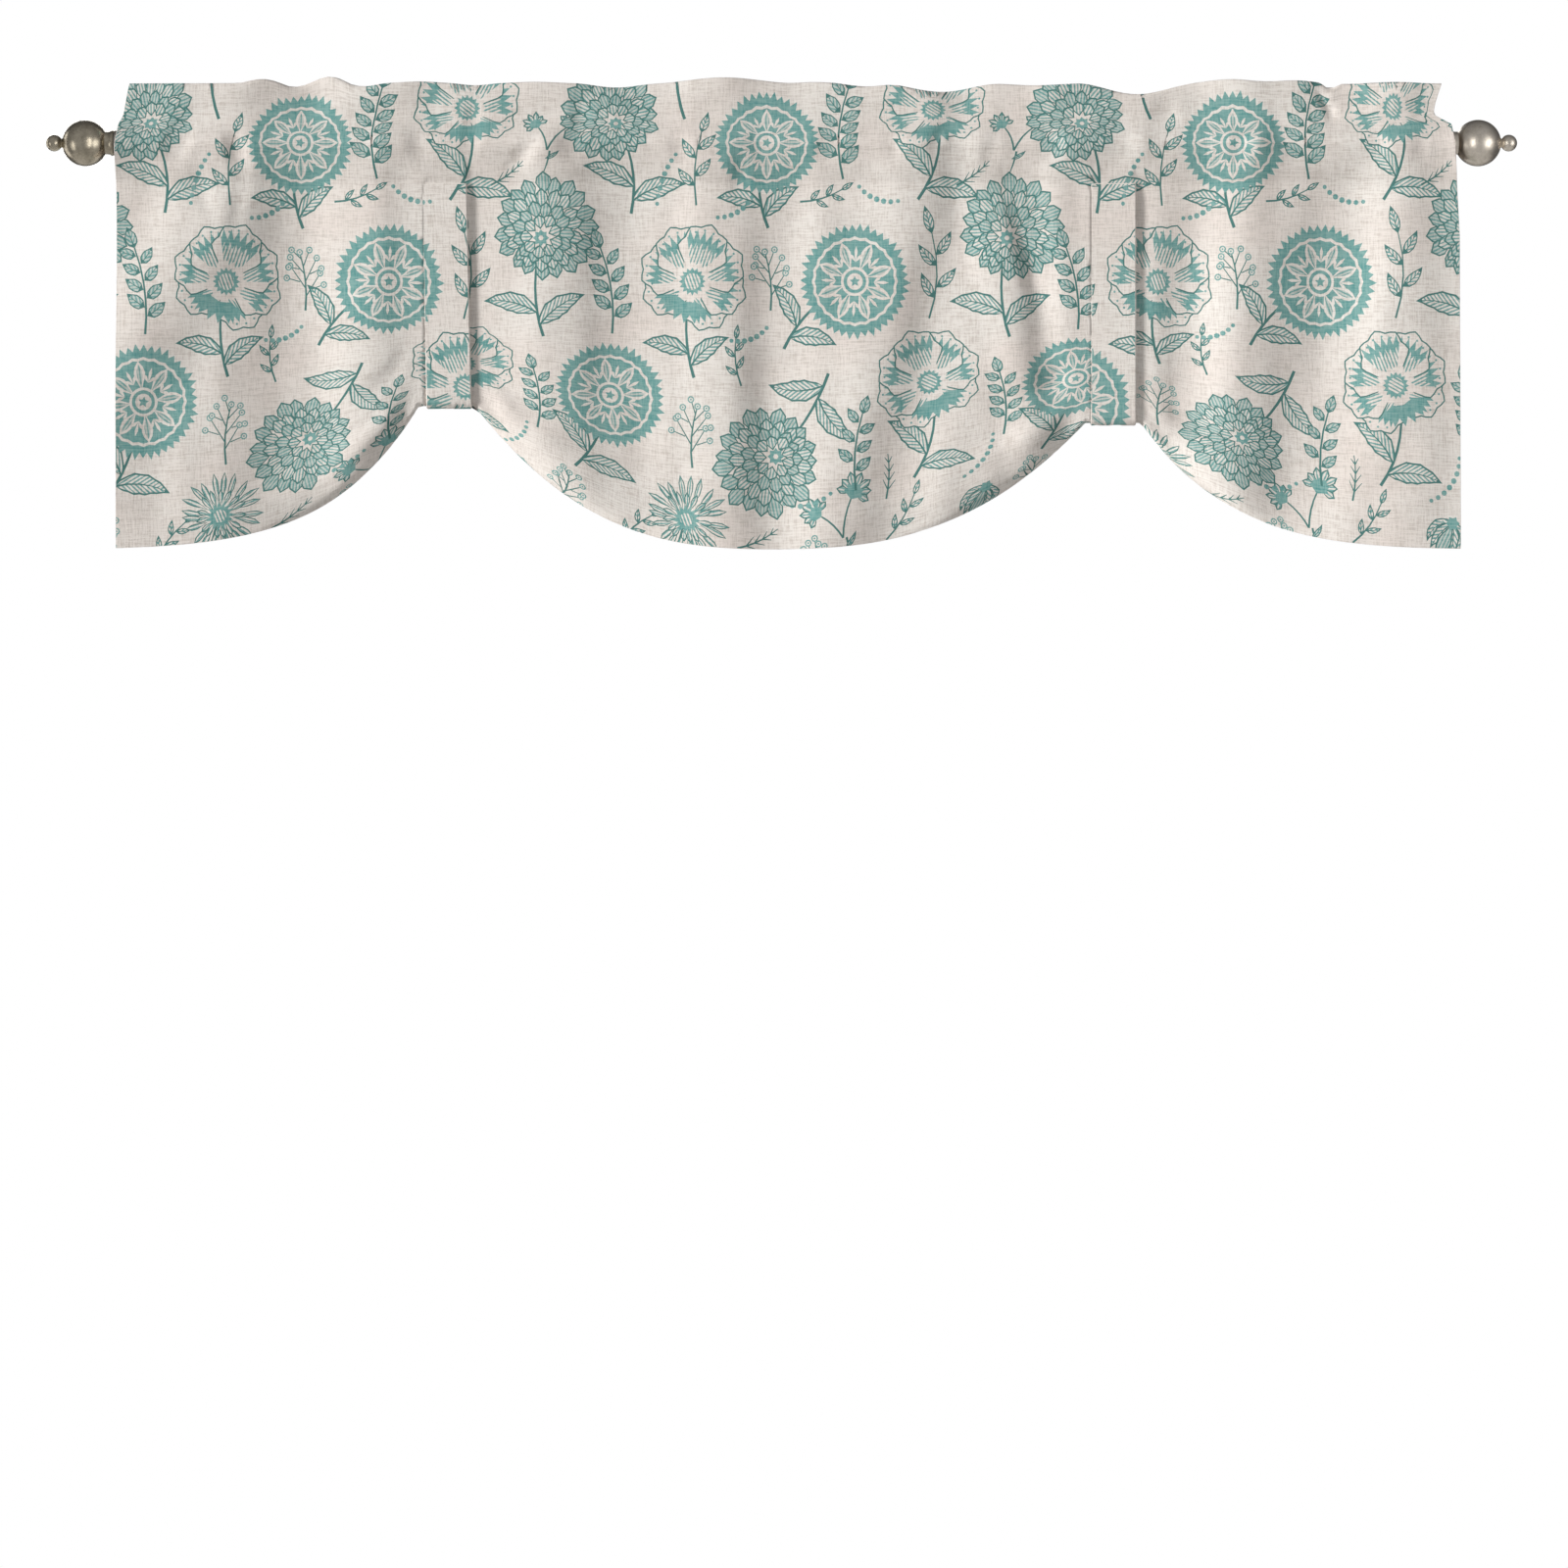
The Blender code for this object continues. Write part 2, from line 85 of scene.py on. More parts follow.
def mix(a, b, share):
    return a + (b - a) * share


def bell(u):
    """A smooth hump, 1 at u = 0 and 0 from u = -1 and u = 1 on."""
    return np.cos(np.pi * np.clip(u, -1, 1) / 2) ** 2


def ease(u):
    """A smooth step from 0 at u = 0 to 1 at u = 1."""
    u = np.clip(u, 0, 1)
    return u * u * (3 - 2 * u)


def table(columns, *rows):
    """Rows of numbers whose columns can be read by name."""
    row_type = namedtuple("Row", columns)
    return [row_type(*row) for row in rows]


def run_length(a, b):
    """Distance along a line to each of its points, from the points' two coordinates."""
    return np.concatenate([[0], np.cumsum(np.hypot(np.diff(a), np.diff(b)))])


def moved_out(y, z, distance):
    """A line, or lines in columns, moved sideways by a distance."""
    run_y, run_z = np.gradient(y, axis=0), np.gradient(z, axis=0)
    run = np.hypot(run_y, run_z)
    return y + run_z / run * distance, z - run_y / run * distance


def add_object(name, data):
    """A new object in the scene, unturned at the origin."""
    made = bpy.data.objects.new(name, data)
    bpy.context.scene.collection.objects.link(made)
    return made


# %% [markdown]
# ## The camera
#
# The picture is taken straight from the front with a long lens, level with the middle of the window, so
# upright lines stay upright. The valance fills the upper third of a square frame.

# %% Camera
FRAME_WIDTH = 1.524           # width of the picture at the valance, in metres
CAMERA_DISTANCE = 6.0
CAMERA_X, CAMERA_Z = 0.0024, -0.6229
SENSOR = 36.0

camera_data = bpy.data.cameras.new("camera")
camera_data.sensor_width = SENSOR
camera_data.sensor_fit = "HORIZONTAL"
camera_data.lens = SENSOR * CAMERA_DISTANCE / FRAME_WIDTH
camera_data.clip_end = 50
camera = add_object("camera", camera_data)
camera.location = (CAMERA_X, -CAMERA_DISTANCE, CAMERA_Z)
camera.rotation_euler = (math.radians(90), 0, 0)
bpy.context.scene.camera = camera
print(f"lens {camera_data.lens:.0f} mm at {CAMERA_DISTANCE} m")

# %% [markdown]
# ## How the cloth hangs
#
# A cloth simulation would find folds of its own, and this valance has folds of its own already: each
# one can be seen and measured. So the hang is written down as tables, one row for each tie, each upright
# fold and each swag fold, with its place, its width and how far it stands forward.
#
# These first tables are the ones that the solids were made from, with the broad upright folds drawn out a
# little softer, so the dressed cloth lies where the solids lie.

# %% Main sizes of the hung cloth, in metres
CLOTH = 0.0016
TIE_CLOTH = 0.0022
GAP = 0.0005
FACE_GAP = 0.0003
HEADER_TOP = 0.0579
HEADER_SEAM = 0.0265
POCKET_SEAM = -0.0400
HEM = -0.3948
SEAM_ALLOWANCE = 0.0080
POCKET_RADIUS = 0.0131
POCKET_TIP_TOP = 0.0248
POCKET_TIP_LOW = -0.0386
PUFF_FRONT = 0.0012           # dimples in the pocket's front bottom out softly within this depth
PUFF_BACK = 0.0010            # slack of the pocket's back
POCKET_SLACK = 0.0019         # how far the pocket's front stands off the rod between its dimples
PUFF_END = 0.0030             # the pocket gapes this much more at its ends
END_REACH = 0.0300
ROD_HOLD = 0.0600             # nearer to the rod than this, the folds flatten out
TIE_HALF_WIDTH = 0.0220
PLATEAU = 0.0270              # the lifted hem is level this far from a tie's middle
TURN_SHARE = 0.30             # share of the lift that turns under to the back
TURN_MAX = math.radians(176)
TURN_RADIUS_TIE = 0.0050
TURN_RADIUS_FREE = 0.0120
TURN_REACH = 0.0800
BELLY = 0.0090                # the free hem stands forward this much
HANG = 0.0015                 # the cloth hangs this far in front of the rod's middle
FLAT_REACH = 0.0340           # a tie holds the cloth flat out to here
EDGE_REACH = 0.1200           # the side edges are drawn in or out over this width
LEFT, RIGHT = -0.6455, 0.6586

Tie = namedtuple("Tie", "name x lean lift outer_reach outer_power inner_reach inner_power")
TIES = (
    Tie("tie_left", -0.3253, 0.0024, 0.1400, 0.548, 6.3, 0.2905, 2.65),
    Tie("tie_right", 0.3224, 0.0000, 0.1238, 0.452, 5.0, 0.3048, 2.60),
)

EDGES = table(
    "z left right",
    (0.0600, -0.6330, 0.6415), (0.0380, -0.6372, 0.6345), (0.0280, -0.6390, 0.6330),
    (0.0180, -0.6435, 0.6500), (-0.0060, -0.6463, 0.6529), (-0.0420, -0.6460, 0.6560),
    (-0.0900, -0.6455, 0.6586), (-0.4000, -0.6455, 0.6586),
)

TOP_LINE = table(
    "x rise half_width",
    (-0.5044, 0.0043, 0.026), (-0.4739, -0.0030, 0.018), (-0.4396, 0.0070, 0.026),
    (-0.4053, -0.0030, 0.024), (-0.3501, 0.0018, 0.040), (-0.2977, -0.0018, 0.026),
    (-0.2405, 0.0014, 0.045), (-0.1614, -0.0038, 0.042), (-0.0548, 0.0055, 0.075),
    (0.0310, 0.0015, 0.035), (0.0833, -0.0030, 0.035), (0.1538, -0.0082, 0.060),
    (0.2500, -0.0018, 0.050), (0.3453, -0.0105, 0.060), (0.4358, 0.0040, 0.050),
    (0.4977, 0.0030, 0.045), (0.5329, -0.0050, 0.012), (0.5977, 0.0012, 0.050),
)

# %% Folds that run down the cloth, and folds that leave the ties
FOLDS = table(
    "x_top x_hem half_width header pocket upper hem",
    (-0.5350, -0.7450, 0.080, 0.0030, 0.0030, 0.0080, 0.0075),
    (-0.4620, -0.4800, 0.078, -0.0040, -0.0030, -0.0085, -0.0060),
    (-0.3929, -0.3977, 0.070, 0.0020, 0.0030, 0.0040, 0.0060),
    (-0.2280, -0.2220, 0.060, 0.0020, 0.0040, 0.0048, 0.0036),
    (-0.1420, -0.1350, 0.062, -0.0030, -0.0030, -0.0045, -0.0040),
    (-0.0620, -0.0520, 0.050, 0.0030, 0.0030, 0.0042, 0.0036),
    (0.0060, -0.0120, 0.048, -0.0020, -0.0020, -0.0042, -0.0032),
    (0.1250, 0.0480, 0.054, 0.0020, 0.0040, 0.0042, 0.0042),
    (0.1850, 0.1000, 0.052, -0.0040, -0.0030, -0.0042, -0.0044),
    (0.1950, 0.2620, 0.034, 0.0015, 0.0035, 0.0036, 0.0024),
    (0.2320, 0.3000, 0.032, -0.0015, -0.0020, -0.0034, -0.0018),
    (0.2786, 0.2834, 0.036, 0.0020, 0.0030, 0.0030, 0.0020),
    (0.4000, 0.3900, 0.056, -0.0030, -0.0020, -0.0060, -0.0036),
    (0.4500, 0.4200, 0.056, 0.0025, 0.0040, 0.0054, 0.0048),
    (0.5500, 0.4980, 0.060, -0.0045, -0.0030, -0.0070, -0.0055),
    (0.6020, 0.6040, 0.060, 0.0025, 0.0025, 0.0045, 0.0035),
)

SWAGS = table(
    "tie side height climb half_height reach depth",
    (0, -1, 0.026, 0.10, 0.022, 0.170, 0.0040), (0, -1, 0.062, 0.22, 0.022, 0.120, -0.0030),
    (0, 1, 0.030, 0.12, 0.022, 0.150, 0.0035), (1, -1, 0.028, 0.16, 0.020, 0.170, 0.0045),
    (1, -1, 0.060, 0.30, 0.020, 0.150, -0.0035), (1, 1, 0.030, 0.14, 0.022, 0.130, 0.0035),
)

# %% [markdown]
# ### Creases
#
# The solids have the large folds only. What makes cloth look like cloth is the next size down: dimples
# where the pocket grips the rod, short creases that fan out below its seam, and soft troughs over the
# swags. Each is one row: its middle, half its length, the way it points, half its width and how far it
# stands forward. A negative depth is a trough.

# %% Creases placed one by one
CREASES = table(
    "x z length turn half_width depth",
    (-0.560, -0.055, 0.040, -70, 0.012, -0.0012), (-0.527, -0.060, 0.045, 80, 0.012, -0.0014),
    (-0.500, 0.006, 0.050, 4, 0.014, -0.0016), (-0.445, -0.004, 0.050, -8, 0.012, -0.0014),
    (-0.404, -0.002, 0.034, 86, 0.014, -0.0013), (-0.300, 0.012, 0.040, 84, 0.013, -0.0022),
    (-0.254, -0.016, 0.038, 52, 0.012, -0.0018), (-0.232, -0.010, 0.036, 54, 0.014, 0.0012),
    (-0.196, 0.020, 0.040, 88, 0.014, -0.0018), (-0.040, -0.030, 0.045, 84, 0.014, -0.0015),
    (0.152, 0.004, 0.026, 66, 0.009, -0.0016), (0.168, 0.004, 0.026, -62, 0.009, -0.0016),
    (0.203, -0.010, 0.034, 80, 0.012, -0.0018), (0.240, -0.120, 0.100, -74, 0.014, -0.0014),
    (0.226, -0.110, 0.090, -76, 0.014, 0.0014), (0.372, 0.020, 0.050, 82, 0.020, -0.0022),
    (0.480, 0.004, 0.040, 78, 0.018, -0.0018), (0.530, 0.036, 0.030, -58, 0.007, -0.0030),
    (0.536, 0.010, 0.024, 64, 0.007, -0.0022), (0.524, -0.010, 0.030, 8, 0.014, -0.0016),
    (0.622, -0.006, 0.024, 86, 0.012, -0.0014), (-0.585, 0.002, 0.032, 68, 0.018, -0.0046),
    (-0.528, -0.008, 0.032, 102, 0.017, -0.0046), (-0.462, -0.004, 0.032, 78, 0.017, -0.0040),
    (-0.352, -0.002, 0.026, 96, 0.016, -0.0020), (-0.205, -0.002, 0.028, 98, 0.018, -0.0022),
    (-0.150, 0.000, 0.030, 82, 0.020, -0.0026), (-0.098, -0.006, 0.024, 104, 0.014, -0.0018),
    (-0.018, 0.000, 0.030, 94, 0.018, -0.0024), (0.046, -0.002, 0.032, 76, 0.018, -0.0030),
    (0.108, -0.004, 0.024, 100, 0.014, -0.0018), (0.262, 0.000, 0.030, 84, 0.018, -0.0026),
    (0.330, 0.002, 0.032, 97, 0.020, -0.0028), (0.400, -0.002, 0.030, 102, 0.018, -0.0028),
    (0.446, -0.004, 0.028, 78, 0.016, -0.0028), (0.494, 0.000, 0.030, 100, 0.018, -0.0030),
    (0.578, -0.002, 0.026, 86, 0.016, -0.0022),
)


def crease_depth(x, z):
    """How far the creases bring the cloth forward."""
    total = 0
    for c in CREASES:
        turn = math.radians(c.turn)
        along = (x - c.x) * math.cos(turn) + (z - c.z) * math.sin(turn)
        aside = (z - c.z) * math.cos(turn) - (x - c.x) * math.sin(turn)
        total = total + c.depth * bell(along / c.length) * bell(aside / c.half_width)
    return total


SKIRT_MIDDLE = 0.45           # from this share of the way down, a fold goes over to its depth at the hem
SWAG_START = 5                # a swag fold reaches its full depth in a fifth of its length
SWAG_TAPER = 1.2
HOLD_TOP, HOLD_FADE = 0.025, 0.030          # a tie's hold starts above the seam and grows over a height
TIE_SWELL = 0.0019            # the cloth stands forward this much against a tie's left edge
SWELL_START, SWELL_RISE = 0.0012, 0.0018    # from this far under the edge, over this width
SWELL_TOP, SWELL_FADE = 0.0015, 0.034       # back down from this far beyond the edge, over this width
TIE_SINK = 0.0019             # it lies back this much beyond a tie's right edge
SINK_RISE, SINK_FADE = 0.0040, 0.040        # widths under the edge and beyond it
TIE_TOP = 0.012               # both begin this far above the seam
TIE_ROLL = 0.0022             # the pocket's lower seam rolls forward over a tie's top end
ROLL_HEIGHT, ROLL_HALF, ROLL_FADE = 0.0060, 0.0085, 0.016    # its height over the seam, half height and fade
HEM_ROLL = 0.0050             # a lifted lower edge rolls back this much at most
HEM_ROLL_LIFT = 0.05          # where it is lifted this much or more
HEM_ROLL_REACH, HEM_ROLL_HEIGHT = 0.030, 0.026               # distance from a tie, and height over the hem
POCKET_BLEND = 0.010, 0.012   # the pocket is centred on the rod nearer to it than this, above and below
POCKET_ROUND = 0.8
RIPPLES = 26                  # number of waves in the cloth's slight unevenness
RIPPLE_DEPTH = 0.00022


def ripple(x, z):
    """Slight unevenness all over, from waves that run every way."""
    draw = random.Random(5)
    total = 0
    for _ in range(RIPPLES):
        way, size, phase = draw.uniform(0, math.pi), draw.uniform(0.035, 0.120), draw.uniform(0, math.tau)
        total = total + np.cos((x * math.cos(way) + z * math.sin(way)) * math.tau / size + phase)
    return RIPPLE_DEPTH * total / math.sqrt(RIPPLES / 8)


# %% [markdown]
# ### From the tables to a surface
#
# The next functions say where the cloth lies for any place across it and any height: how much a tie
# lifts the hem there, how deep the folds are, and how the pocket runs round the rod.

# %% Lift, folds and the pocket
def tie_values(x):
    """The nearest tie's row at each x, as arrays."""
    left = np.abs(x - TIES[0].x) < np.abs(x - TIES[1].x)
    return Tie("", *[np.where(left, a, b) for a, b in zip(TIES[0][1:], TIES[1][1:])])


def away_from_tie(x):
    return np.maximum(np.abs(x - tie_values(x).x) - PLATEAU, 0)


def lift(x):
    """How far the lower edge is raised above the free hem."""
    tie = tie_values(x)
    outer = (x - tie.x) * tie.x > 0
    reach = np.where(outer, tie.outer_reach, tie.inner_reach)
    power = np.where(outer, tie.outer_power, tie.inner_power)
    return tie.lift * np.clip(1 - away_from_tie(x) / reach, 0, None) ** power


def top_line(x):
    return HEADER_TOP + sum(row.rise * bell((x - row.x) / row.half_width) for row in TOP_LINE)


def fold_depth(x, z):
    """How far the upright folds bring the cloth forward."""
    down = (POCKET_SEAM - z) / (POCKET_SEAM - HEM)
    middle = SKIRT_MIDDLE
    up = ease((z - POCKET_SEAM) / (HEADER_TOP - POCKET_SEAM))
    high, low = ease(down / middle * 2), ease((down - middle) / (1 - middle))
    total = 0
    for fold in FOLDS:
        line = mix(fold.x_top, fold.x_hem, np.maximum(down, 0))
        seam = 0.5 * (fold.pocket + fold.upper)
        skirt = np.where(down < middle, mix(seam, fold.upper, high), mix(fold.upper, fold.hem, low))
        depth = np.where(down < 0, mix(seam, fold.header, up), skirt)
        total = total + depth * bell((x - line) / fold.half_width)
    return total


def swag_depth(x, z):
    """How far the folds that leave the ties bring the cloth forward."""
    height = z - (HEM + lift(x))
    total = 0
    for swag in SWAGS:
        away = (x - TIES[swag.tie].x) * swag.side - PLATEAU
        along = np.clip(away / swag.reach, 0, 1)
        line = swag.height + swag.climb * away
        depth = swag.depth * ease(along * SWAG_START) * (1 - along) ** SWAG_TAPER
        total = total + depth * bell((height - line) / swag.half_height)
    return total


def held_flat(x, z):
    """0 where a tie holds the cloth flat and 1 where it folds freely."""
    below = ease((POCKET_SEAM + HOLD_TOP - z) / HOLD_FADE)
    return 1 - below * (1 - ease(away_from_tie(x) / FLAT_REACH))


def beside_tie(x, z):
    """Cloth that swells against each tie's left edge and sinks in beyond its right one."""
    tie_x = tie_values(x).x
    beside = np.abs(x - tie_x) - TIE_HALF_WIDTH
    swells = TIE_SWELL * ease((beside + SWELL_START) / SWELL_RISE)
    swells = swells * (1 - ease((beside - SWELL_TOP) / SWELL_FADE))
    sinks = -TIE_SINK * ease((beside + SINK_RISE) / SINK_RISE) * (1 - ease(beside / SINK_FADE))
    return np.where(x < tie_x, swells, sinks) * ease((POCKET_SEAM + TIE_TOP - z) / TIE_TOP)


def hem_roll(x, z):
    """How far the lifted lower edge rolls back before it turns under."""
    height = z - (HEM + lift(x))
    lifted = np.clip(lift(x) / HEM_ROLL_LIFT, 0, 1) * ease(away_from_tie(x) / HEM_ROLL_REACH)
    return HEM_ROLL * (1 - ease(height / HEM_ROLL_HEIGHT)) * lifted


def centre_y(x, z):
    """Depth of the cloth's centre plane where it isn't in the pocket."""
    height = np.maximum(HEM + lift(x), z)
    share = ease((POCKET_SEAM - height) / (POCKET_SEAM - HEM))
    free = 1 - lift(x) / TIES[0].lift
    folds = (fold_depth(x, z) + swag_depth(x, z)) * ease(np.abs(z) / ROD_HOLD)
    forward = (folds + crease_depth(x, z) + ripple(x, z)) * held_flat(x, z) + beside_tie(x, z)
    return hem_roll(x, z) - HANG - forward - BELLY * free * share


def pocket_wall(z):
    """Half the pocket's inner depth at height z, from seam to seam round the rod."""
    high, low = POCKET_RADIUS ** 2 / POCKET_TIP_TOP, POCKET_RADIUS ** 2 / POCKET_TIP_LOW
    wide_high, wide_low = (math.sqrt(POCKET_RADIUS ** 2 - edge ** 2) for edge in (high, low))
    above = wide_high * (POCKET_TIP_TOP - z) / (POCKET_TIP_TOP - high)
    below = wide_low * (z - POCKET_TIP_LOW) / (low - POCKET_TIP_LOW)
    round_rod = np.sqrt(np.clip(POCKET_RADIUS ** 2 - z ** 2, 0, None))
    return np.maximum(np.where(z > high, above, np.where(z < low, below, round_rod)), 0)


def pocket_y(x, z, front):
    """Depth of the pocket's outer face, centred on the rod and drawn to the cloth's plane at its seams."""
    high, low = POCKET_BLEND
    above = centre_y(x, HEADER_SEAM) * ease((z - high) / (HEADER_SEAM - high))
    below = centre_y(x, POCKET_SEAM) * ease((-z - low) / (-POCKET_SEAM - low))
    end = np.maximum(0, 1 - np.minimum(x - LEFT, RIGHT - x) / END_REACH) ** 2 * PUFF_END
    slack = PUFF_BACK
    if front:
        loose = sum(f.pocket * bell((x - f.x_top) / f.half_width) for f in FOLDS)
        loose = POCKET_SLACK + loose + crease_depth(x, z) + ripple(x, z)
        slack = 0.5 * (loose + np.sqrt(loose ** 2 + PUFF_FRONT ** 2)) + PUFF_FRONT * 0.5
        by_tie = 1 - ease((np.abs(x - tie_values(x).x) - TIE_HALF_WIDTH) / ROLL_FADE)
        end = end + TIE_ROLL * by_tie * bell((z - POCKET_SEAM - ROLL_HEIGHT) / ROLL_HALF)
    share = np.clip((z - POCKET_TIP_LOW) / (POCKET_TIP_TOP - POCKET_TIP_LOW), 0, 1)
    depth = CLOTH + pocket_wall(z) + (slack + end) * np.sin(np.pi * share) ** POCKET_ROUND
    return np.where(z > 0, above, below) + (-depth if front else depth)


def across(x, z):
    """Where the cloth that hangs at x lies once its side edges are drawn in or out at height z."""
    heights, lefts, rights = zip(*EDGES[::-1])
    left, right = np.interp(z, heights, lefts) - LEFT, np.interp(z, heights, rights) - RIGHT
    near_left = np.maximum(0, 1 - (x - LEFT) / EDGE_REACH) ** 2
    near_right = np.maximum(0, 1 - (RIGHT - x) / EDGE_REACH) ** 2
    return x + left * near_left + right * near_right


# %% [markdown]
# ### The flat cloth and the hung cloth
#
# The print belongs to the flat cloth, before it was sewn. So the whole piece is thought of as flat:
# a runs across it and v runs down it from the top fold, both in millimetres, and v is negative on the
# part that is folded over to the back. The next cell hangs a fine net of such places. Anything else,
# such as an outline of the print, then finds its place on the hung cloth by looking it up in that net.

# %% Flat sizes, in millimetres
CUT_WIDTH = 1372.0
HEADER_LENGTH = 32.0
POCKET_LENGTH = 76.0
SKIRT_LENGTH = 355.0
ALLOWANCE = 8.0
SEAM_V = HEADER_LENGTH + POCKET_LENGTH
FLAP_V = -SEAM_V - ALLOWANCE
HEM_V = SEAM_V + SKIRT_LENGTH
NET_STEP = 1.0
TOP_FOLD = 2.7 * MM           # radius of the fold at the top of the header
HEADER_SHARES = (0, 0.28, 0.60, 0.90)               # at these shares of the header's height
HEADER_HALVES = (CLOTH, 0.0025, 0.0029, TOP_FOLD)   # each layer stands this far off its middle
FLAP_REACH = 0.93             # the turned-in end hangs shorter than it is, by its own small bends
SQUASH_START = 107.0          # below the seam by this much a lifted skirt is drawn up in small folds
SQUASH_POWER = 1.5
SOFT_REACH = 12.0             # the bend at a seam is eased this far above and below it
SOFT_PASSES = 20


class Hung:
    """A net of places on a hung cloth, in rows down it and columns across it, with its outward normals."""

    def __init__(self, net, left, width, top, length):
        self.net, self.left, self.width, self.top, self.length = net, left, width, top, length
        down, along = np.gradient(net, axis=0), np.gradient(net, axis=1)
        normals = np.cross(down, along)
        self.normals = normals / np.linalg.norm(normals, axis=2, keepdims=True)

    def look_up(self, values, flat):
        rows, columns = values.shape[:2]
        i = np.clip((flat[:, 1] - self.top) / self.length * (rows - 1), 0, rows - 1.001)
        j = np.clip((flat[:, 0] - self.left) / self.width * (columns - 1), 0, columns - 1.001)
        i0, j0 = i.astype(int), j.astype(int)
        fi, fj = (i - i0)[:, None], (j - j0)[:, None]
        upper = values[i0, j0] * (1 - fj) + values[i0, j0 + 1] * fj
        lower = values[i0 + 1, j0] * (1 - fj) + values[i0 + 1, j0 + 1] * fj
        return upper * (1 - fi) + lower * fi

    def place(self, flat):
        return self.look_up(self.net, flat)

    def normal(self, flat):
        n = self.look_up(self.normals, flat)
        return n / np.linalg.norm(n, axis=1, keepdims=True)


# %% Header, pocket and skirt as sheets of places
def header_sheet(x, v, front):
    """One layer of the header, v below the top fold."""
    top = top_line(x)
    arc = TOP_FOLD * math.pi / 2 / MM
    angle = np.clip(v / arc, 0, 1) * math.pi / 2
    share = np.clip((v - arc) / (HEADER_LENGTH - arc), 0, 1)
    z = np.where(v < arc, top - TOP_FOLD * (1 - np.cos(angle)), mix(top - TOP_FOLD, HEADER_SEAM, share))
    height = (z - HEADER_SEAM) / (top - HEADER_SEAM)
    body = np.interp(height, HEADER_SHARES, HEADER_HALVES)
    half = np.where(v < arc, TOP_FOLD * np.sin(angle), body)
    return centre_y(x, z) + (-half if front else half), z


def pocket_sheet(x, v, front):
    """One layer of the pocket, v below the header's seam, spaced evenly along its curve."""
    z_line = np.linspace(HEADER_SEAM, POCKET_SEAM, 400)
    length = run_length(z_line, pocket_wall(z_line))
    z = np.interp(v / POCKET_LENGTH * length[-1], length, z_line) + 0 * x
    return pocket_y(x, z, front), z


def skirt_sheet(x, v):
    """The skirt, v below the pocket's seam: down, and turned under where a tie lifts it."""
    raised = lift(x)
    radius = mix(TURN_RADIUS_TIE, TURN_RADIUS_FREE, ease(away_from_tie(x) / TURN_REACH))
    turned_length = TURN_SHARE * raised
    turn = np.minimum(turned_length / radius, TURN_MAX)
    straight = POCKET_SEAM - (HEM + raised) - radius * np.sin(np.minimum(turn, math.pi / 2))
    spare = SKIRT_LENGTH * MM - (straight + turned_length)
    drawn_up = np.clip((v - SQUASH_START) / (SKIRT_LENGTH - SQUASH_START), 0, 1) ** SQUASH_POWER
    s = v * MM - spare * drawn_up
    bend = np.maximum(s - straight, 0)
    angle = np.minimum(bend / radius, turn)
    rest = bend - angle * radius
    back = radius * (1 - np.cos(angle)) + rest * np.sin(angle)
    z = POCKET_SEAM - np.minimum(s, straight) - radius * np.sin(angle) - rest * np.cos(angle)
    return moved_out(centre_y(x, z) - CLOTH / 2 + back, z, CLOTH / 2)


def flap_sheet(x, v):
    """The turned-in end of the cloth, behind the skirt just below the pocket."""
    z = POCKET_SEAM + (v + SEAM_V) * MM * FLAP_REACH + 0 * x
    return centre_y(x, z) + CLOTH, z


def soften_rows(deep, v, seam):
    """Eases the bend in the cloth at a seam, over a few millimetres above and below it."""
    soft = deep.copy()
    for _ in range(SOFT_PASSES):
        soft[1:-1] = 0.25 * soft[:-2] + 0.5 * soft[1:-1] + 0.25 * soft[2:]
    share = bell((v - seam) / SOFT_REACH)[:, None]
    return mix(deep, soft, share)


def hang_panel():
    """The whole cloth: up the back from the flap's end, over the top fold and down the front."""
    x = np.linspace(LEFT, RIGHT, int(CUT_WIDTH / NET_STEP) + 1)[None, :]
    v = np.arange(FLAP_V, HEM_V + NET_STEP / 2, NET_STEP)[:, None]
    deep, high = np.empty((v.size, x.size)), np.empty((v.size, x.size))

    def fill(low, top, sheet):
        rows = ((v >= low) & (v < top)).ravel()
        deep[rows], high[rows] = sheet(v[rows])

    fill(FLAP_V, -SEAM_V, lambda w: flap_sheet(x, w))
    fill(-SEAM_V, -HEADER_LENGTH, lambda w: pocket_sheet(x, -w - HEADER_LENGTH, False))
    fill(-HEADER_LENGTH, 0, lambda w: header_sheet(x, -w, False))
    fill(0, HEADER_LENGTH, lambda w: header_sheet(x, w, True))
    fill(HEADER_LENGTH, SEAM_V, lambda w: pocket_sheet(x, w - HEADER_LENGTH, True))
    fill(SEAM_V, HEM_V + 1, lambda w: skirt_sheet(x, w - SEAM_V))
    for seam in (HEADER_LENGTH, SEAM_V):
        deep = soften_rows(deep, v.ravel(), seam)
    net = np.stack([across(x + 0 * high, high), deep, high], axis=2)
    return Hung(net, 0, CUT_WIDTH, FLAP_V, HEM_V - FLAP_V)


hung_panel = hang_panel()
print("net of", hung_panel.net.shape[0], "rows and", hung_panel.net.shape[1], "columns")

# %% [markdown]
# ## The print
#
# The cloth carries a flower print in one colour, deeper along the outlines: wheel flowers with a fringed
# rim, full many-petalled flowers, ruffled open ones, and sprays of leaves, berries and dotted arcs
# between them. A bitmap would need an image file, and a shader made of noise can't draw a flower. So each
# motif is a short function that draws outlines, as a block cutter would, and a table says where each one
# lies in the repeat.
#
# A point is a complex number here. Adding one moves a shape, and multiplying by a number of length 1
# turns it, which keeps the drawing functions short. A shape is an outline with two inks, one for fine
# lines and one for the gaps between them, and the way that those lines run.

